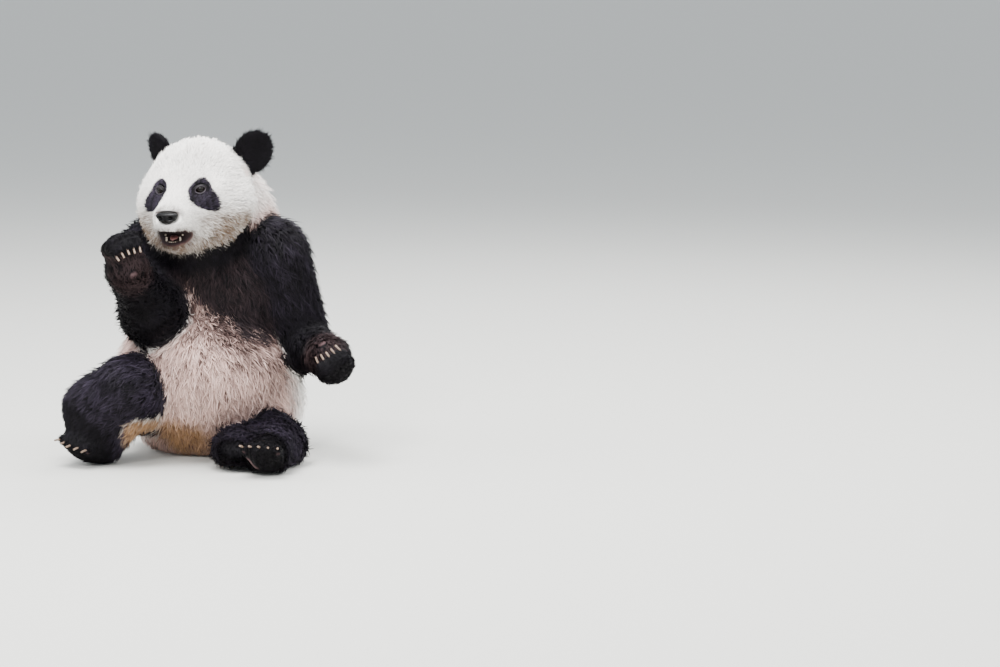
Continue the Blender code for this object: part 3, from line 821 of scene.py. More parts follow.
# %% An unwrap of the skin for each piece of coat
def unwrapped(name, faces):
    """UV corners of the skin's triangles that one piece of coat covers, laid out flat."""
    used, renumbered = np.unique(triangles[faces], return_inverse=True)
    mesh = bpy.data.meshes.new(f"{name}_unwrap")
    mesh.from_pydata(points[used].tolist(), [], renumbered.reshape(-1, 3).tolist())
    mesh.uv_layers.new(name="unwrap")
    sheet = new_object(f"{name}_unwrap", mesh)
    bpy.ops.object.select_all(action="DESELECT")
    bpy.context.view_layer.objects.active = sheet
    sheet.select_set(True)
    bpy.ops.object.mode_set(mode="EDIT")
    bpy.ops.mesh.select_all(action="SELECT")
    bpy.ops.uv.smart_project(angle_limit=math.radians(66), island_margin=0.004)
    bpy.ops.object.mode_set(mode="OBJECT")
    laid = np.empty(len(faces) * 6, np.float32)
    mesh.uv_layers["unwrap"].data.foreach_get("uv", laid)
    bpy.data.objects.remove(sheet)
    bpy.data.meshes.remove(mesh)
    return laid.reshape(-1, 3, 2)


# %% The shape of a tuft
TUFT_PATCH = 0.003                  # size of a tuft's patch on the unwrap
TUFT_FLATNESS = 0.6                 # thickness of a tuft as a share of its width
LONGEST_PULL = 0.012                # how far a tip may lean towards its lock
SIDE_ANGLES = np.radians([90, 210, 330])
RING_PLACES = (0.0, 0.5)            # rings of three points along a tuft, before its tip
RING_WIDTHS = (0.8, 1.0)
STANDS_OUT, EAR_STANDS_OUT = 0.22, 0.70     # share of its straight line that a tuft keeps at a bend


def along_skin(places, straight, heights, stands_out):
    """Moves points to a height above the nearest skin, keeping a little of their straight line."""
    found = [skin_tree.find_nearest(Vector(p)) for p in places]
    hit = np.array([f[0] for f in found])
    facing = np.array([f[1] for f in found])
    return (1 - stands_out) * (hit + heights[:, None] * facing) + stands_out * straight


def tuft_spines(roots, flows, normals, lengths, heights, bends, stands_out):
    """The middle line of every tuft: a point at each ring, then the tip."""
    places = (*RING_PLACES, 1.0)
    sides = np.cross(normals, flows)
    spine = [roots - 0.001 * normals]
    for place in places[1:]:
        swung = unit(flows + (bends * place)[:, None] * sides)
        reach = roots + (place * lengths)[:, None] * swung
        lift = heights * (1 - (1 - place) ** 1.7)
        spine.append(along_skin(reach, reach + lift[:, None] * normals, lift, stands_out))
    return spine


def clumped(spine, tufts_in_a_lock, pull_share):
    """Draws the tips of neighbouring tufts together into locks."""
    tips = spine[-1]
    heads = chance.choice(len(tips), max(len(tips) // tufts_in_a_lock, 1), replace=False)
    tree = KDTree(len(heads))
    for i, head in enumerate(heads):
        tree.insert(tips[head], i)
    tree.balance()
    nearest_head = heads[[tree.find(p)[1] for p in tips]]
    pull = tips[nearest_head] - tips
    pull *= np.minimum(1, LONGEST_PULL / np.maximum(np.linalg.norm(pull, axis=1, keepdims=True), 1e-6))
    strength = pull_share * chance.uniform(0.4, 1.0, (len(tips), 1))
    places = (*RING_PLACES, 1.0)
    return [p + strength * place**1.5 * pull for place, p in zip(places, spine)]


def ringed(spine, normals, widths):
    """Three points round each place on the spine, and the way each faces."""
    grown, facing = [], []
    for k, ring_width in enumerate(RING_WIDTHS):
        way = unit(spine[k + 1] - spine[max(k - 1, 0)])
        across = unit(np.cross(normals, way))
        over = np.cross(way, across)
        for angle in SIDE_ANGLES:
            offset = math.cos(angle) * across + TUFT_FLATNESS * math.sin(angle) * over
            grown.append(spine[k] + 0.5 * ring_width * widths[:, None] * offset)
            facing.append(unit(0.75 * normals + 0.55 * unit(offset)))
    grown.append(spine[-1])
    facing.append(normals)
    return np.stack(grown, axis=1), np.stack(facing, axis=1)


# %% One mesh from many tufts
def tuft_faces():
    """Corner numbers of one tuft's faces, all facing outwards."""
    rings, quads = len(RING_PLACES), []
    for k in range(rings - 1):
        for s in range(3):
            a, b = 3 * k + s, 3 * k + (s + 1) % 3
            quads.append([a, b, b + 3, a + 3])
    top = 3 * (rings - 1)
    tips = [[top + s, top + (s + 1) % 3, 3 * rings] for s in range(3)]
    return quads, tips + [[2, 1, 0]]


def joined_tufts(name, grown, facing, values, uv):
    """A mesh of every tuft, with its values as attributes and its map on the unwrap."""
    count, per_tuft = grown.shape[:2]
    quads, threes = tuft_faces()
    order = np.array([corner for face in quads + threes for corner in face])
    sizes = np.array([4] * len(quads) + [3] * len(threes))
    loops = (np.arange(count)[:, None] * per_tuft + order).ravel()
    starts = np.concatenate([[0], np.cumsum(np.tile(sizes, count))[:-1]])
    mesh = bpy.data.meshes.new(name)
    mesh.vertices.add(count * per_tuft)
    mesh.vertices.foreach_set("co", grown.astype(np.float32).ravel())
    mesh.loops.add(len(loops))
    mesh.loops.foreach_set("vertex_index", loops.astype(np.int32))
    mesh.polygons.add(len(starts))
    mesh.polygons.foreach_set("loop_start", starts.astype(np.int32))
    mesh.update(calc_edges=True)
    places = np.array([p for p in RING_PLACES for _ in range(3)] + [1.0])
    held = {"tip": np.tile(places, count)}
    held.update({key: np.repeat(value, per_tuft) for key, value in values.items()})
    for key, value in held.items():
        hold_values(mesh, key, value)
    across = np.array([math.cos(a) for _ in RING_PLACES for a in SIDE_ANGLES] + [0.0])
    patch = np.column_stack([0.5 * across, places - 0.5]) * TUFT_PATCH
    baked = mesh.uv_layers.new(name="OFBake")
    spot = (uv[:, None, :] + patch[order][None]).reshape(-1, 2)
    baked.data.foreach_set("uv", np.clip(spot, 0, 1).astype(np.float32).ravel())
    mesh.shade_smooth()
    mesh.normals_split_custom_set_from_vertices(facing.reshape(-1, 3).tolist())
    return new_object(name, mesh)


# %% Grow every piece of coat
LOCKS = {
    # piece of coat: (tufts in a lock, how far they lean together)
    "coat_belly": (14, 0.85),
    "coat_face": (8, 0.45),
    "coat_ears": (5, 0.40),
}
OTHER_LOCKS = (10, 0.65)
SHORTEST_TUFT, THINNEST_TUFT = 0.009, 0.0016        # round the nose and eyes
tuft_length = by_region(1) * (1 - short_haired) + SHORTEST_TUFT * short_haired
tuft_width = by_region(2) * (1 - short_haired) + THINNEST_TUFT * short_haired
FLOOR_CLEARANCE = 0.0015
STANDING_SHARE = 0.10       # of the tufts, which stand out and make the outline soft
STANDING_HEIGHT = 1.6
STREAK_SIZE = np.array([0.007, 0.012, 0.040])       # longest upwards, as a streak hangs down
NEAR_LIDS, KEPT_NEAR_LIDS = 1.7, 0.6    # tufts that start near the lids keep this share of their length


def grow(name):
    """One piece of coat, with the marking values of its place held by every tuft."""
    covers, count = PIECES[name]
    faces = np.flatnonzero(covers & hairy)
    crowding = 1 + 2.2 * short_haired[triangles[faces, 0]]
    picked, shares = scattered_roots(faces, crowding, count)
    on = faces[picked]

    def here(values):
        return at_roots(values, on, shares)

    roots, facing = here(points), unit(here(normals))
    swirl = 0.30 * waves(roots, 0.05, 7) + 0.22 * waves(roots, 0.016, 8) + chance.normal(0, 0.13, count)
    flows = pressed(here(flow), facing)
    flows = unit(flows + swirl[:, None] * np.cross(facing, flows))
    lengths = here(tuft_length) * chance.uniform(0.75, 1.15, count)
    widths = here(tuft_width) * chance.uniform(0.8, 1.2, count)
    heights = here(depth) * chance.uniform(0.70, 1.0, count) * (1 - 0.7 * here(groove))
    heights *= np.where(chance.random(count) < STANDING_SHARE, STANDING_HEIGHT, 1)
    lengths *= 1 - 0.35 * 4 * here(black) * (1 - here(black))       # shorter where colours meet
    lengths *= np.where(on_lids(roots, NEAR_LIDS), KEPT_NEAR_LIDS, 1)
    stands_out, bends = STANDS_OUT, chance.normal(0, 0.22, count)
    if name == "coat_ears":     # uneven hair gives the ears a fuzzy rim
        stands_out, bends = EAR_STANDS_OUT, 1.8 * bends
        lengths *= np.minimum(0.55 + chance.exponential(0.32, count), 1.7)
    spine = tuft_spines(roots, flows, facing, lengths, heights, bends, stands_out)
    spine = clumped(spine, *LOCKS.get(name, OTHER_LOCKS))
    kept = ~(on_lids(spine[1]) | on_lids(spine[2], 0.80))       # none lies across an eye
    grown, faced = ringed(spine, facing, widths)
    grown[:, :, 2] = np.maximum(grown[:, :, 2], FLOOR_CLEARANCE)
    mixed = chance.uniform(-0.28, 0.28, count)
    streaks = np.array([noise.noise(Vector(root / STREAK_SIZE)) for root in roots])
    beneath = [skin_tree.find_nearest(Vector(p))[2] for p in spine[1]]
    dark = black[triangles[beneath]].mean(axis=1)
    if name == "coat_face":     # a crisp edge for the eye patches, read from the tuft's own middle
        dark = np.maximum(here(black_without_patch), eye_patch(spine[1]))
    values = {
        "black": smooth_step(dark + mixed, 0.32, 0.68),
        "stain": np.clip(here(stain) + 0.5 * mixed, 0, 1),
        "streak": np.clip(here(streak) + (1.05 * streaks + 0.9 * mixed) * here(streaky), 0, 1),
        "tan": np.clip(here(tan) + 0.5 * mixed * here(tan), 0, 1),
        "khaki": np.clip(here(khaki) * (1 + 1.6 * mixed), 0, 1),
        "lips": np.clip(here(lips) + mixed * here(lips), 0, 1),
        "gleam": np.clip(here(gleam) * (1 + 1.8 * streaks + 3 * mixed), 0, 1),
        "brown": np.clip(here(brown) * (1 + 1.8 * streaks + 3 * mixed), 0, 1),
        # random brightness per tuft, and painted shade that darkens the tufts in the grooves between the
        # digits
        "shade": np.clip(1 + 0.12 * waves(roots, 0.05, 9) + chance.normal(0, 0.09, count), 0.6, 1.3)
        * (1 - 0.6 * here(groove)),
    }
    laid = unwrapped(name, faces)
    uv = (laid[picked] * shares[:, :, None]).sum(axis=1)
    values = {key: value[kept] for key, value in values.items()}
    made = joined_tufts(name, grown[kept], faced[kept], values, uv[kept])
    print(name, kept.sum(), "tufts,", 10 * kept.sum(), "triangles")
    return made


coats = [grow(name) for name in PIECES]

# %% [markdown]
# ## Finish of the coat
#
# Each hair of a giant panda's coat is coarse and a little oily, so a lock shines softly along its
# length. The white is a warm cream and the black is nearly neutral. Real black hair turns bluish
# where it catches the sky and brown where the sun has bleached it. Lamps alone leave such tufts
# flat, so the bluish sheen is painted in as a colour, and the brown with it, by value, tuft by tuft.
# One chain of nodes lays the colours over each other by the marking values that every tuft holds.
# Each tuft is painted darker at its root, as the shade where little light gets in, tufts differ a
# little in brightness, and those in the grooves between the digits are painted darker, as shade.
# The skin below uses the same chain of colours, so that no gap in the coat shows. Under the stained
# and khaki hair it is darker still: partly a dark undercoat, partly painted shade between the locks.

# %% Coat colours
CREAM_WHITE = "#f8f4ee"
PINKISH_BEIGE = "#d4b0a5"
DARK_STREAK = "#54413d"
RUST_TAN = "#aa835f"
CHEEK_KHAKI = "#806c59"
LIP_BROWN = "#3b2a2b"
DEEP_BLACK = "#09070a"
# a painted bluish sheen, where black hair would catch the sky
BLUE_GLEAM = "#39323f"
WARM_BROWN = "#342828"
ROOT_SHADE, TIP_SHADE = 0.62, 1.04


def marked_colour(material, tip_shading):
    """Colour output of the markings, for a coat or for the skin."""
    colour = CREAM_WHITE
    for name, hex_colour in (
        ("stain", PINKISH_BEIGE), ("tan", RUST_TAN), ("khaki", CHEEK_KHAKI),
        ("lips", LIP_BROWN), ("streak", DARK_STREAK),
    ):
        colour = blend(material, colour, hex_colour, attribute(material, name))
    if not tip_shading:
        return blend(material, colour, DEEP_BLACK, attribute(material, "black"))
    dark = blend(material, DEEP_BLACK, WARM_BROWN, attribute(material, "brown"))
    dark = blend(material, dark, BLUE_GLEAM, attribute(material, "gleam"))
    colour = blend(material, colour, dark, attribute(material, "black"))
    along = add_node(
        material, "ShaderNodeMapRange", {"Value": attribute(material, "tip")},
        To_Min=ROOT_SHADE, To_Max=TIP_SHADE,
    )
    brightness = add_node(
        material, "ShaderNodeMath", {0: along.outputs[0], 1: attribute(material, "shade")},
        operation="MULTIPLY",
    )
    return add_node(
        material, "ShaderNodeVectorMath", {0: colour, "Scale": brightness.outputs[0]},
        operation="SCALE",
    ).outputs[0]


coat_material, coat_shader = new_material(      # a soft sheen along each lock
    "coarse_oily_hair", Roughness=0.60, Specular_IOR_Level=0.10
)
join_nodes(coat_material, marked_colour(coat_material, True), coat_shader.inputs["Base Color"])
for coat in coats:
    coat.data.materials.append(coat_material)
    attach(coat, "root")

# %% Skin under the coat
# under the stained and khaki hair the skin is darker, laid on as streak: partly a dark undercoat, partly
# painted shade between the locks
streak_and_shade_on_skin = np.maximum(streak, 0.7 * np.maximum(stain, khaki))
for name, values in (
    ("black", black), ("stain", stain), ("streak", streak_and_shade_on_skin), ("tan", tan),
    ("khaki", khaki), ("lips", lips), ("mouth", mouth_share), ("pad", pad),
):
    hold_values(skin_mesh, name, values)
skin_mesh.shade_smooth()
skin_mesh.materials.clear()
skin = new_object("skin", skin_mesh)
skin_material, skin_shader = new_material(      # dull and woolly, so that it sinks between tufts
    "hide_under_dense_wool", Roughness=0.75, Specular_IOR_Level=0.12
)
colour = marked_colour(skin_material, False)
for name, hex_colour in (
    ("lips", "#45312f"),        # mauve brown
    ("mouth", "#190f10"),       # the lining of the mouth, painted nearly black as the shade inside it
    ("pad", "#544142"),         # mauve
):
    colour = blend(skin_material, colour, hex_colour, attribute(skin_material, name))
join_nodes(skin_material, colour, skin_shader.inputs["Base Color"])
add_bump(skin_material, skin_shader, object_noise(skin_material, 420.0, 3.0), 0.5, 0.002)
skin_mesh.materials.append(skin_material)
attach(skin, "root")
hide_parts(*FLESH)

# %% [markdown]
# ## Eyes and lids
#
# A panda's eye is small and set in a black patch. What shows of the eyeball is nearly all iris, a
# very dark brown ring round a black pupil, under the wet bulge of the cornea, which gives the sharp
# glint. A plain sphere would do from afar. Rings round the line of sight give the bulge too, and a
# value that grows from ring to ring colours the pupil and the iris without an unwrap. The lids are a
# rolled rim of black skin round an almond opening, drawn as a closed ring, and a thin greyish line
# is painted along the roll as a highlight, where light would catch it.

# %% Ring-shaped meshes
def ring_mesh(name, rings, closed=False, values=None):
    """A mesh from equal rings of points. It is closed into a torus or capped at both ends."""
    rings = np.array(rings)
    count, sides = rings.shape[:2]
    faces = []
    for k in range(count if closed else count - 1):
        here, there = k * sides, (k + 1) % count * sides
        for s in range(sides):
            after = (s + 1) % sides
            faces.append([here + s, here + after, there + after, there + s])
    if not closed:
        faces += [list(range(sides))[::-1], list(range((count - 1) * sides, count * sides))]
    mesh = bpy.data.meshes.new(name)
    mesh.from_pydata(rings.reshape(-1, 3).tolist(), [], faces)
    drawing = bmesh.new()
    drawing.from_mesh(mesh)
    bmesh.ops.recalc_face_normals(drawing, faces=drawing.faces)
    drawing.to_mesh(mesh)
    drawing.free()
    if values is not None:
        hold_values(mesh, "band", values)
    mesh.shade_smooth()
    return new_object(name, mesh)


def finished(obj, material, slot, *replaced):
    """Gives a piece its material and fixes it to the body."""
    obj.data.materials.clear()
    obj.data.materials.append(material)
    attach(obj, "root")
    if replaced:
        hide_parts(*replaced)


# %% Eye materials
eye_material, eye_shader = new_material(        # a sharp highlight on near black
    "wet_brown_eye", Roughness=0.05, IOR=1.34, Specular_IOR_Level=0.30
)
iris = colour_ramp(
    eye_material, attribute(eye_material, "band"),
    (0.16, "#050404"), (0.21, "#0b0604"), (0.36, "#100906"), (0.42, "#060403"), (0.60, "#0f0b0a"),
)
join_nodes(eye_material, iris, eye_shader.inputs["Base Color"])

lid_material, lid_shader = new_material(        # dull black, with a painted highlight: a thin greyish line along its roll
    "bare_black_eyelid", Roughness=0.50, Specular_IOR_Level=0.15
)
rim = colour_ramp(
    lid_material, attribute(lid_material, "band"),
    (0.24, "#151012"), (0.36, "#575059"), (0.42, "#342e33"), (0.52, "#171316"), (1.0, "#0a0809"),
)
join_nodes(lid_material, rim, lid_shader.inputs["Base Color"])
add_bump(lid_material, lid_shader, object_noise(lid_material, 900.0, 4.0), 0.5, 0.0006)

# %% Eyeballs and lids
OPENING_WIDE, OPENING_HIGH = math.radians(66), math.radians(36)     # half angles of the almond
ALMOND = 1.6                # power of its outline, between a diamond's 1 and an ellipse's 2
CORNEA_ANGLE, CORNEA_BULGE = math.radians(32), 0.0007
EYE_TILT = math.radians(12)                 # the outer corner is the higher one
LOOKS_OUT, LOOKS_AHEAD = 0.42, 0.90         # the two parts of each line of sight
BALL_ANGLES = np.radians([1, 8, 14, 18, 24, 30, 36, 44, 54, 66, 80, 100, 125, 150, 175])
AROUND = np.linspace(0, 2 * math.pi, 48, endpoint=False)
LID_PROFILE = (
    # share of the way from the opening to the lids' outer edge, and rise in metres
    (-0.08, 0.0001), (0.0, 0.0006), (0.15, 0.0013), (0.30, 0.0020), (0.42, 0.0026), (0.52, 0.0024),
    (0.65, 0.0014), (0.80, 0.0009), (1.0, 0.0), (1.0, -0.0025), (0.5, -0.0030), (0.1, -0.0018),
)
LID_FOOT = 0.0045       # the lids' outer edge lies this far behind the front of the eyeball


def sphere_point(centre, axes, radius, angle, around):
    """A point of the ball at an angle off the line of sight."""
    sight, across, up = [np.array(axis) for axis in axes]
    aside = np.cos(around) * across + np.sin(around) * up
    return np.array(centre) + radius * (np.cos(angle) * sight + np.sin(angle) * aside)


for side, sign in SIDES.items():
    centre = middle(f"eye_{side}")
    sight = (LOOKS_OUT * sign * face_left + LOOKS_AHEAD * face_forward).normalized()
    outwards = (sign * face_left - sign * face_left.dot(sight) * sight).normalized()
    across = math.cos(EYE_TILT) * outwards + math.sin(EYE_TILT) * face_up
    up = math.cos(EYE_TILT) * face_up - math.sin(EYE_TILT) * outwards
    rings = []
    for angle in BALL_ANGLES:
        radius = eye_radius + CORNEA_BULGE * max(0.0, 1 - (angle / CORNEA_ANGLE) ** 2)
        rings.append([sphere_point(centre, (sight, across, up), radius, angle, a) for a in AROUND])
    bands = np.repeat(BALL_ANGLES / math.pi * 2, len(AROUND))
    ball = ring_mesh(f"eyeball_{side}", rings, values=bands)
    finished(ball, eye_material, "eye_surface", f"eye_{side}")

    wide_share = np.abs(np.cos(AROUND) / OPENING_WIDE) ** ALMOND
    high_share = np.abs(np.sin(AROUND) / OPENING_HIGH) ** ALMOND
    opening = 1 / (wide_share + high_share) ** (1 / ALMOND)
    inner, front_of_inner = eye_radius * np.sin(opening), eye_radius * np.cos(opening)
    outer = 1 / np.hypot(np.cos(AROUND) / LID_WIDE, np.sin(AROUND) / LID_HIGH)
    rings, bands = [], []
    for share, rise in LID_PROFILE:
        aside = inner + share * (outer - inner)
        ahead = (1 - share) * front_of_inner + share * (eye_radius - LID_FOOT) + rise
        rings.append(
            np.array(centre)
            + np.outer(ahead, sight)
            + np.outer(aside * np.cos(AROUND), across)
            + np.outer(aside * np.sin(AROUND), up)
        )
        bands.append(np.full(len(AROUND), max(share, 0.0)))
    lid = ring_mesh(f"eyelids_{side}", rings, closed=True, values=bands)
    finished(lid, lid_material, "nose_skin")
print("eyes:", eye_radius, "m radius")

# %% [markdown]
# ## Nose
#
# The nose is a pad of bare black leather, broad and flat on top and narrowing to the lip, with two
# comma-shaped nostrils and a shallow groove down its middle. Its skin is pebbled and moist. It could
# be sculpted, but it is close to a squared ball, so a ball of fine rings is pushed into that shape,
# and the nostrils and groove are pressed into it. How far each point is pressed in is kept as a
# value, which paints the deep shade of an open nostril into the shallow nostril dents.

# %% Nose pad
low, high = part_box("nose")
nose_half = (high - low) / 2
nose_axes = np.array([face_left, -face_forward, face_up])


def dent(x, z, at_x, at_z, wide, high):
    """1 in the middle of an oval hollow, running out to 0."""
    return np.exp(-(((x - at_x) / wide) ** 2 + ((z - at_z) / high) ** 2))


rings, pressed_in_at = [], []
for latitude in np.linspace(-88, 88, 45):
    ring = []
    for longitude in np.linspace(0, 2 * math.pi, 80, endpoint=False):
        ball = np.array([
            math.cos(math.radians(latitude)) * math.cos(longitude),
            math.cos(math.radians(latitude)) * math.sin(longitude),
            math.sin(math.radians(latitude)),
        ])
        x, y, z = np.sign(ball) * np.abs(ball) ** (0.80, 0.85, 0.72)
        width = 0.80 + 0.24 * z - 0.10 * max(0.0, -z) ** 2
        pressed_in = 0.0
        if y < 0:
            for sign in (-1, 1):
                pressed_in += 0.62 * dent(x, z + 0.25 * (sign * x - 0.5), sign * 0.47, -0.02, 0.20, 0.27)
                pressed_in += 0.30 * dent(x, z, sign * 0.86, -0.20, 0.20, 0.12)
            pressed_in += 0.10 * math.exp(-((x / 0.06) ** 2)) * min(1.0, max(0.0, 0.5 - z))
            pressed_in += 0.10 * max(0.0, z) ** 2
        pressed_in_at.append(pressed_in)
        ring.append([x * width * nose_half.x, (y + pressed_in) * nose_half.y, z * nose_half.z])
    rings.append(np.array(ring) @ nose_axes + np.array(nose_middle))
nose = ring_mesh("nose_pad", rings, values=pressed_in_at)

nose_material, nose_shader = new_material(      # small soft glints
    "moist_pebbled_nose_leather", Roughness=0.27, Specular_IOR_Level=0.17
)
place_on_nose = add_node(nose_material, "ShaderNodeTexCoord").outputs["Object"]
pebbles = add_node(nose_material, "ShaderNodeTexVoronoi", {"Vector": place_on_nose}, Scale=520.0)
add_bump(nose_material, nose_shader, pebbles.outputs["Distance"], 0.4, 0.0008)
tone = object_noise(nose_material, 90.0, 3.0)
tone = colour_ramp(nose_material, tone, (0.30, "#040303"), (0.75, "#0b0909"))
# painted shade: the deeper a point of a nostril is pressed in, the nearer it is to black
inside = add_node(
    nose_material, "ShaderNodeMapRange", {"Value": attribute(nose_material, "band")},
    From_Min=0.12, From_Max=0.45,
)
colour = blend(nose_material, tone, "#020102", inside.outputs[0])
join_nodes(nose_material, colour, nose_shader.inputs["Base Color"])
finished(nose, nose_material, "nose_skin", "nose")

# %% [markdown]
# ## Claws and teeth
#
# A claw is a curved horn that narrows to a blunt point, and a tooth is nearly the same shape without
# the curve. They could be modelled one by one. As there are 20 claws and 28 teeth, one
# Geometry Nodes tree makes them all. It bends a short line, gives it a thickness that runs out
# towards the tip, and sets the result on every point of a small cloud. Each point holds the way that
# its spike points, the way it curves, and its size. The canine teeth stand where the solids have
# theirs, with six incisors between each pair and three cheek teeth behind each canine.

# %% One tree for spikes on points
SPIKE_RADIUS = 0.15     # of a spike one unit long, so that its bend keeps its proportions


def spike_tree(name):
    tree = bpy.data.node_groups.new(name, "GeometryNodeTree")
    face = tree.interface
    face.new_socket("Geometry", in_out="INPUT", socket_type="NodeSocketGeometry")
    for label, value in (("Curve", 0.1), ("Bluntness", 2.0)):
        face.new_socket(label, in_out="INPUT", socket_type="NodeSocketFloat").default_value = value
    face.new_socket("Material", in_out="INPUT", socket_type="NodeSocketMaterial")
    face.new_socket("Geometry", in_out="OUTPUT", socket_type="NodeSocketGeometry")

    def node(kind, links=None, **settings):
        return add_node(tree, kind, links, **settings)

    given = node("NodeGroupInput").outputs
    bend = node("ShaderNodeCombineXYZ", {"X": given["Curve"]}, Z=1)
    line = node(
        "GeometryNodeCurveQuadraticBezier", {"End": bend.outputs[0]},
        Resolution=9, Start=(0, 0, 0), Middle=(0, 0, 0.55),
    )
    along = node("GeometryNodeSplineParameter").outputs["Factor"]
    power = node("ShaderNodeMath", {0: along, 1: given["Bluntness"]}, operation="POWER")
    thickness = node("ShaderNodeMath", {1: power.outputs[0]}, operation="SUBTRACT")
    thickness.inputs[0].default_value = 1.03
    thick = node(
        "GeometryNodeSetCurveRadius",
        {"Curve": line.outputs["Curve"], "Radius": thickness.outputs[0]},
    )
    circle = node("GeometryNodeCurvePrimitiveCircle", Resolution=12, Radius=SPIKE_RADIUS)
    spike = node(
        "GeometryNodeCurveToMesh",
        {"Curve": thick.outputs[0], "Profile Curve": circle.outputs["Curve"]},
        Fill_Caps=True,
    )
    turned = None
    for way_name, axis, pivot in (("ahead", "Z", "AUTO"), ("under", "X", "Z")):
        way = node("GeometryNodeInputNamedAttribute", data_type="FLOAT_VECTOR", Name=way_name)
        links = {"Vector": way.outputs["Attribute"]}
        if turned:
            links["Rotation"] = turned
        align = node("FunctionNodeAlignRotationToVector", links, axis=axis, pivot_axis=pivot)
        turned = align.outputs[0]
    size = node("GeometryNodeInputNamedAttribute", data_type="FLOAT_VECTOR", Name="size")
    spread_out = node("GeometryNodeInstanceOnPoints", {
        "Points": given["Geometry"],
        "Instance": spike.outputs[0],
        "Rotation": turned,
        "Scale": size.outputs["Attribute"],
    })
    real = node("GeometryNodeRealizeInstances", {"Geometry": spread_out.outputs[0]})
    smooth = node("GeometryNodeSetShadeSmooth", {"Geometry": real.outputs[0]})
    painted = node(
        "GeometryNodeSetMaterial", {"Geometry": smooth.outputs[0], "Material": given["Material"]}
    )
    node("NodeGroupOutput", {"Geometry": painted.outputs[0]})
    return tree


spike_nodes = spike_tree("horn_spikes")


def spikes_on(name, places, material, curve, bluntness):
    """One mesh of spikes. Each place is a root, a way ahead, a way under, and a (thickness, length)."""
    mesh = bpy.data.meshes.new(name)
    mesh.from_pydata([tuple(place[0]) for place in places], [], [])
    for key, values in (
        ("ahead", [place[1] for place in places]),
        ("under", [place[2] for place in places]),
        ("size", [(thick / SPIKE_RADIUS, thick / SPIKE_RADIUS, long) for *_, (thick, long) in places]),
    ):
        flat = np.array([tuple(v) for v in values], np.float32).ravel()
        mesh.attributes.new(key, "FLOAT_VECTOR", "POINT").data.foreach_set("vector", flat)
    cloud = new_object(name, mesh)
    grown = cloud.modifiers.new("spikes", "NODES")
    grown.node_group = spike_nodes
    inputs = [item for item in spike_nodes.interface.items_tree if item.in_out == "INPUT"]
    identifier = {item.name: item.identifier for item in inputs}
    grown[identifier["Curve"]] = curve
    grown[identifier["Bluntness"]] = bluntness
    grown[identifier["Material"]] = material
    made = new_object(name, evaluated_mesh(cloud))
    print(name, len(places), "spikes,", len(made.data.polygons), "faces")
    return made


# %% Horn and enamel
claw_material, claw_shader = new_material("grown_horn", Roughness=0.40)     # tan, with a low gloss
horn_streaks = object_noise(claw_material, 160.0, 5.0)
horn_colour = colour_ramp(claw_material, horn_streaks, (0.30, "#524138"), (0.70, "#96816f"))
join_nodes(claw_material, horn_colour, claw_shader.inputs["Base Color"])
add_bump(claw_material, claw_shader, horn_streaks, 0.3, 0.0006)

tooth_material, tooth_shader = new_material("stained_and_shaded_enamel", Roughness=0.25)  # ivory stained by food, and kept dim as painted shade inside the mouth
enamel = object_noise(tooth_material, 220.0, 2.0)
enamel = colour_ramp(tooth_material, enamel, (0.30, "#5c5042"), (0.65, "#a3978a"))
join_nodes(tooth_material, enamel, tooth_shader.inputs["Base Color"])

# %% Claws
CLAW_THICK = 0.0026
CLAW_CURVE, CLAW_BLUNTNESS = 0.14, 2.2
claw_places = []
for node, found in spikes.items():
    if "paw" not in node:
        continue
    for tip, ahead in found:
        root = tip - CLAW_REACH * ahead
        under = (middle(node) - root) if node.startswith("forepaw") else Vector((0, 0, -1))
        under = (under - under.dot(ahead) * ahead).normalized()
        claw_places.append((root - 0.10 * CLAW_THICK * under, ahead, under, (CLAW_THICK, CLAW_REACH)))
claws = spikes_on("claws", claw_places, claw_material, CLAW_CURVE, CLAW_BLUNTNESS)
finished(claws, claw_material, "nose_skin")

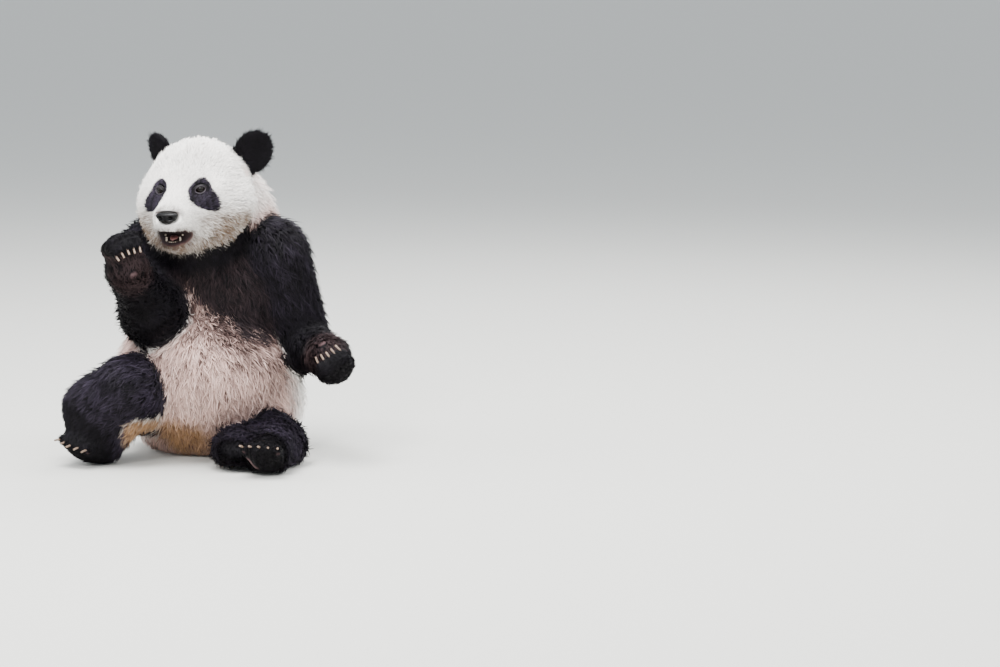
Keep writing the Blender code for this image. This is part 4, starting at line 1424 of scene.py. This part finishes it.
# %% Teeth
CANINE_LENGTH = 0.0130
CANINES = {
    # solid: (way that they point, thickness, how far they are sunk into the gum)
    "head": (-1, 0.0024, 0.0030),
    "lower_jaw": (1, 0.0028, 0.0010),
}
INCISOR, CHEEK_TOOTH = (0.0021, 0.0065), (0.0038, 0.0075)       # thickness and length
INCISOR_DROP, CHEEK_TOOTH_DROP = 0.0195, 0.0190     # from the canines' tips to these teeth's roots
TOOTH_BLUNTNESS = 3.0
teeth_places = []
for node, (way, thick, sunk) in CANINES.items():
    tips = sorted((tip for tip, _ in spikes[node]), key=lambda tip: -tip.dot(face_left))
    print(node, "canines", [tuple(round(v, 4) for v in tip) for tip in tips])
    left_tip, right_tip = tips
    up = way * face_up
    for tip in tips:
        root = tip - (CANINE_LENGTH + sunk) * up
        teeth_places.append((root, up, face_forward, (thick, CANINE_LENGTH)))
    for i in range(1, 7):       # six incisors in a shallow arc between the canines
        bow = 0.008 * math.sin(math.pi * i / 7)
        root = right_tip + i / 7 * (left_tip - right_tip) + bow * face_forward - INCISOR_DROP * up
        teeth_places.append((root, up, face_forward, INCISOR))
    for tip, sign in ((left_tip, 1), (right_tip, -1)):
        for i in range(1, 4):       # cheek teeth run back from each canine
            back = -0.0095 * i * face_forward + 0.002 * i * sign * face_left
            teeth_places.append((tip + back - CHEEK_TOOTH_DROP * up, up, face_forward, CHEEK_TOOTH))
teeth = spikes_on("teeth", teeth_places, tooth_material, 0.0, TOOTH_BLUNTNESS)
finished(teeth, tooth_material, "white_coat")

# %% [markdown]
# ## Tongue
#
# The tongue lies in the floor of the open mouth. It is a soft, wet muscle with a groove along its
# middle and a fine nap. Only its front shows, so the solid's own shape is good enough: it is
# remeshed fine, smoothed and grooved, and the nap is left to a bump.

# %% Tongue
TONGUE_VOXEL = 0.0015
TONGUE_GROOVE_DEPTH, TONGUE_GROOVE_WIDTH = 0.0018, 0.0025
tongue_drawing = merged_copy("tongue")
tongue_mesh = bpy.data.meshes.new("tongue_flesh")
tongue_drawing.to_mesh(tongue_mesh)
tongue_drawing.free()
tongue = new_object("tongue_flesh", tongue_mesh)
fine = tongue.modifiers.new("fine", "REMESH")
fine.mode = "VOXEL"
fine.voxel_size = TONGUE_VOXEL
soft = tongue.modifiers.new("soft", "SMOOTH")
soft.iterations = 6
tongue = new_object("tongue_flesh", evaluated_mesh(tongue))
tongue_points = points_of(tongue.data)
tongue_side = on_face(tongue_points, middle("tongue"))[:, 0]
tongue_groove = TONGUE_GROOVE_DEPTH * np.exp(-((tongue_side / TONGUE_GROOVE_WIDTH) ** 2))
tongue_points -= np.outer(tongue_groove, np.array(face_up))
set_points(tongue.data, tongue_points)
tongue.data.shade_smooth()
tongue_material, tongue_shader = new_material("wet_tongue", Roughness=0.32)     # dusky pink, glinting
nap = object_noise(tongue_material, 1200.0, 2.0)
add_bump(tongue_material, tongue_shader, nap, 0.5, 0.0005)
flesh = colour_ramp(tongue_material, nap, (0.0, "#4a2c2a"), (1.0, "#744b47"))
join_nodes(tongue_material, flesh, tongue_shader.inputs["Base Color"])
finished(tongue, tongue_material, "tongue_skin", "tongue")
